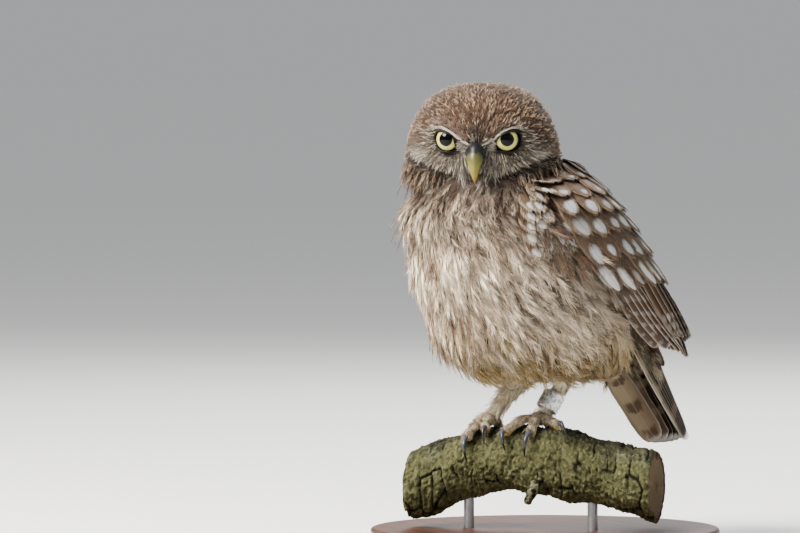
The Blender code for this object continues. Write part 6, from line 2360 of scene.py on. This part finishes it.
rod_finish = worn_metal("brushed_steel", linear("a9abad"), 0.4, (1.0, 1.0, 0.08), 0.1)
for number, where in enumerate(ROD_PLACES, start=1):
    rows = rows_at(PERCH_ROWS, where)
    foot = PERCH_MIDDLE + where * PERCH_ALONG
    bottom, top = BASE_THICKNESS - ROD_SOCKET, float(rows[..., 1] - rows[..., 2]) + ROD_SOCKET
    heights = np.concatenate([[bottom], np.linspace(BASE_THICKNESS - 0.5, top, 12)])
    profile = np.stack([ROD_RADIUS + 0 * heights, heights], axis=-1)
    piece = ring_piece(f"steel_rod_{number}", foot + lathe(profile, 40), rod_finish)
    dress(piece, "rod_steel", f"stand_rod_{number}")

# %% [markdown]
# A studio for a pale, soft animal: one large key from the upper left of the camera, a broad fill
# from its right, a weaker light behind to draw the outline, and a pale floor.

# %% Floor and lights
FLOOR_HALF = 60000.0


def soft_light(name, turn, rise, reach, size, power, tint):
    """A square area light on a ball of this radius about the owl, facing it."""
    way = np.array(
        [math.sin(turn) * math.cos(rise), -math.cos(turn) * math.cos(rise), math.sin(rise)]
    )
    data = bpy.data.lights.new(name, "AREA")
    data.energy, data.size, data.color = power, size * MM, tint
    lamp = bpy.data.objects.new(name, data)
    middle = np.array([0.0, -10.0, 120.0])
    across = unit(np.cross(UP, way))
    turned = np.column_stack([across, np.cross(way, across), way])
    lamp.matrix_world = (
        Matrix.Translation((middle + way * reach) * MM) @ Matrix(turned.tolist()).to_4x4()
    )
    bpy.context.scene.collection.objects.link(lamp)


floor_points = FLOOR_HALF * np.array([[-1, -1, 0], [1, -1, 0], [1, 1, 0], [-1, 1, 0]])
floor_finish = Finish("pale_floor", Base_Color=(0.84, 0.84, 0.83, 1), Roughness=0.6)
floor = mesh_piece("floor", floor_points, np.array([[0, 1, 2, 3]]), floor_finish.material)
soft_light("key", VIEW_TURN - math.radians(58), math.radians(44), 1500, 750, 68, (1.0, 0.96, 0.91))
soft_light(
    "fill", VIEW_TURN + math.radians(55), math.radians(22), 1700, 1300, 2.5, (0.95, 0.98, 1.0)
)
soft_light("rim", VIEW_TURN + math.radians(165), math.radians(40), 1600, 900, 16, (1.0, 1.0, 1.0))
world = bpy.data.worlds.new("studio")
bpy.context.scene.world = world
world.use_nodes = True
sky, links = world.node_tree.nodes["Background"], world.node_tree.links
sky.inputs["Color"].default_value = (0.83, 0.84, 0.86, 1.0)
looking = world.node_tree.nodes.new("ShaderNodeTexCoord")
split = world.node_tree.nodes.new("ShaderNodeSeparateXYZ")
rising = world.node_tree.nodes.new("ShaderNodeMapRange")
rising.inputs["To Min"].default_value, rising.inputs["To Max"].default_value = 0.44, 0.56
links.new(looking.outputs["Generated"], split.inputs[0])
links.new(split.outputs["Z"], rising.inputs["Value"])
links.new(rising.outputs[0], sky.inputs["Strength"])
bpy.context.scene.view_settings.look = "AgX - Medium High Contrast"
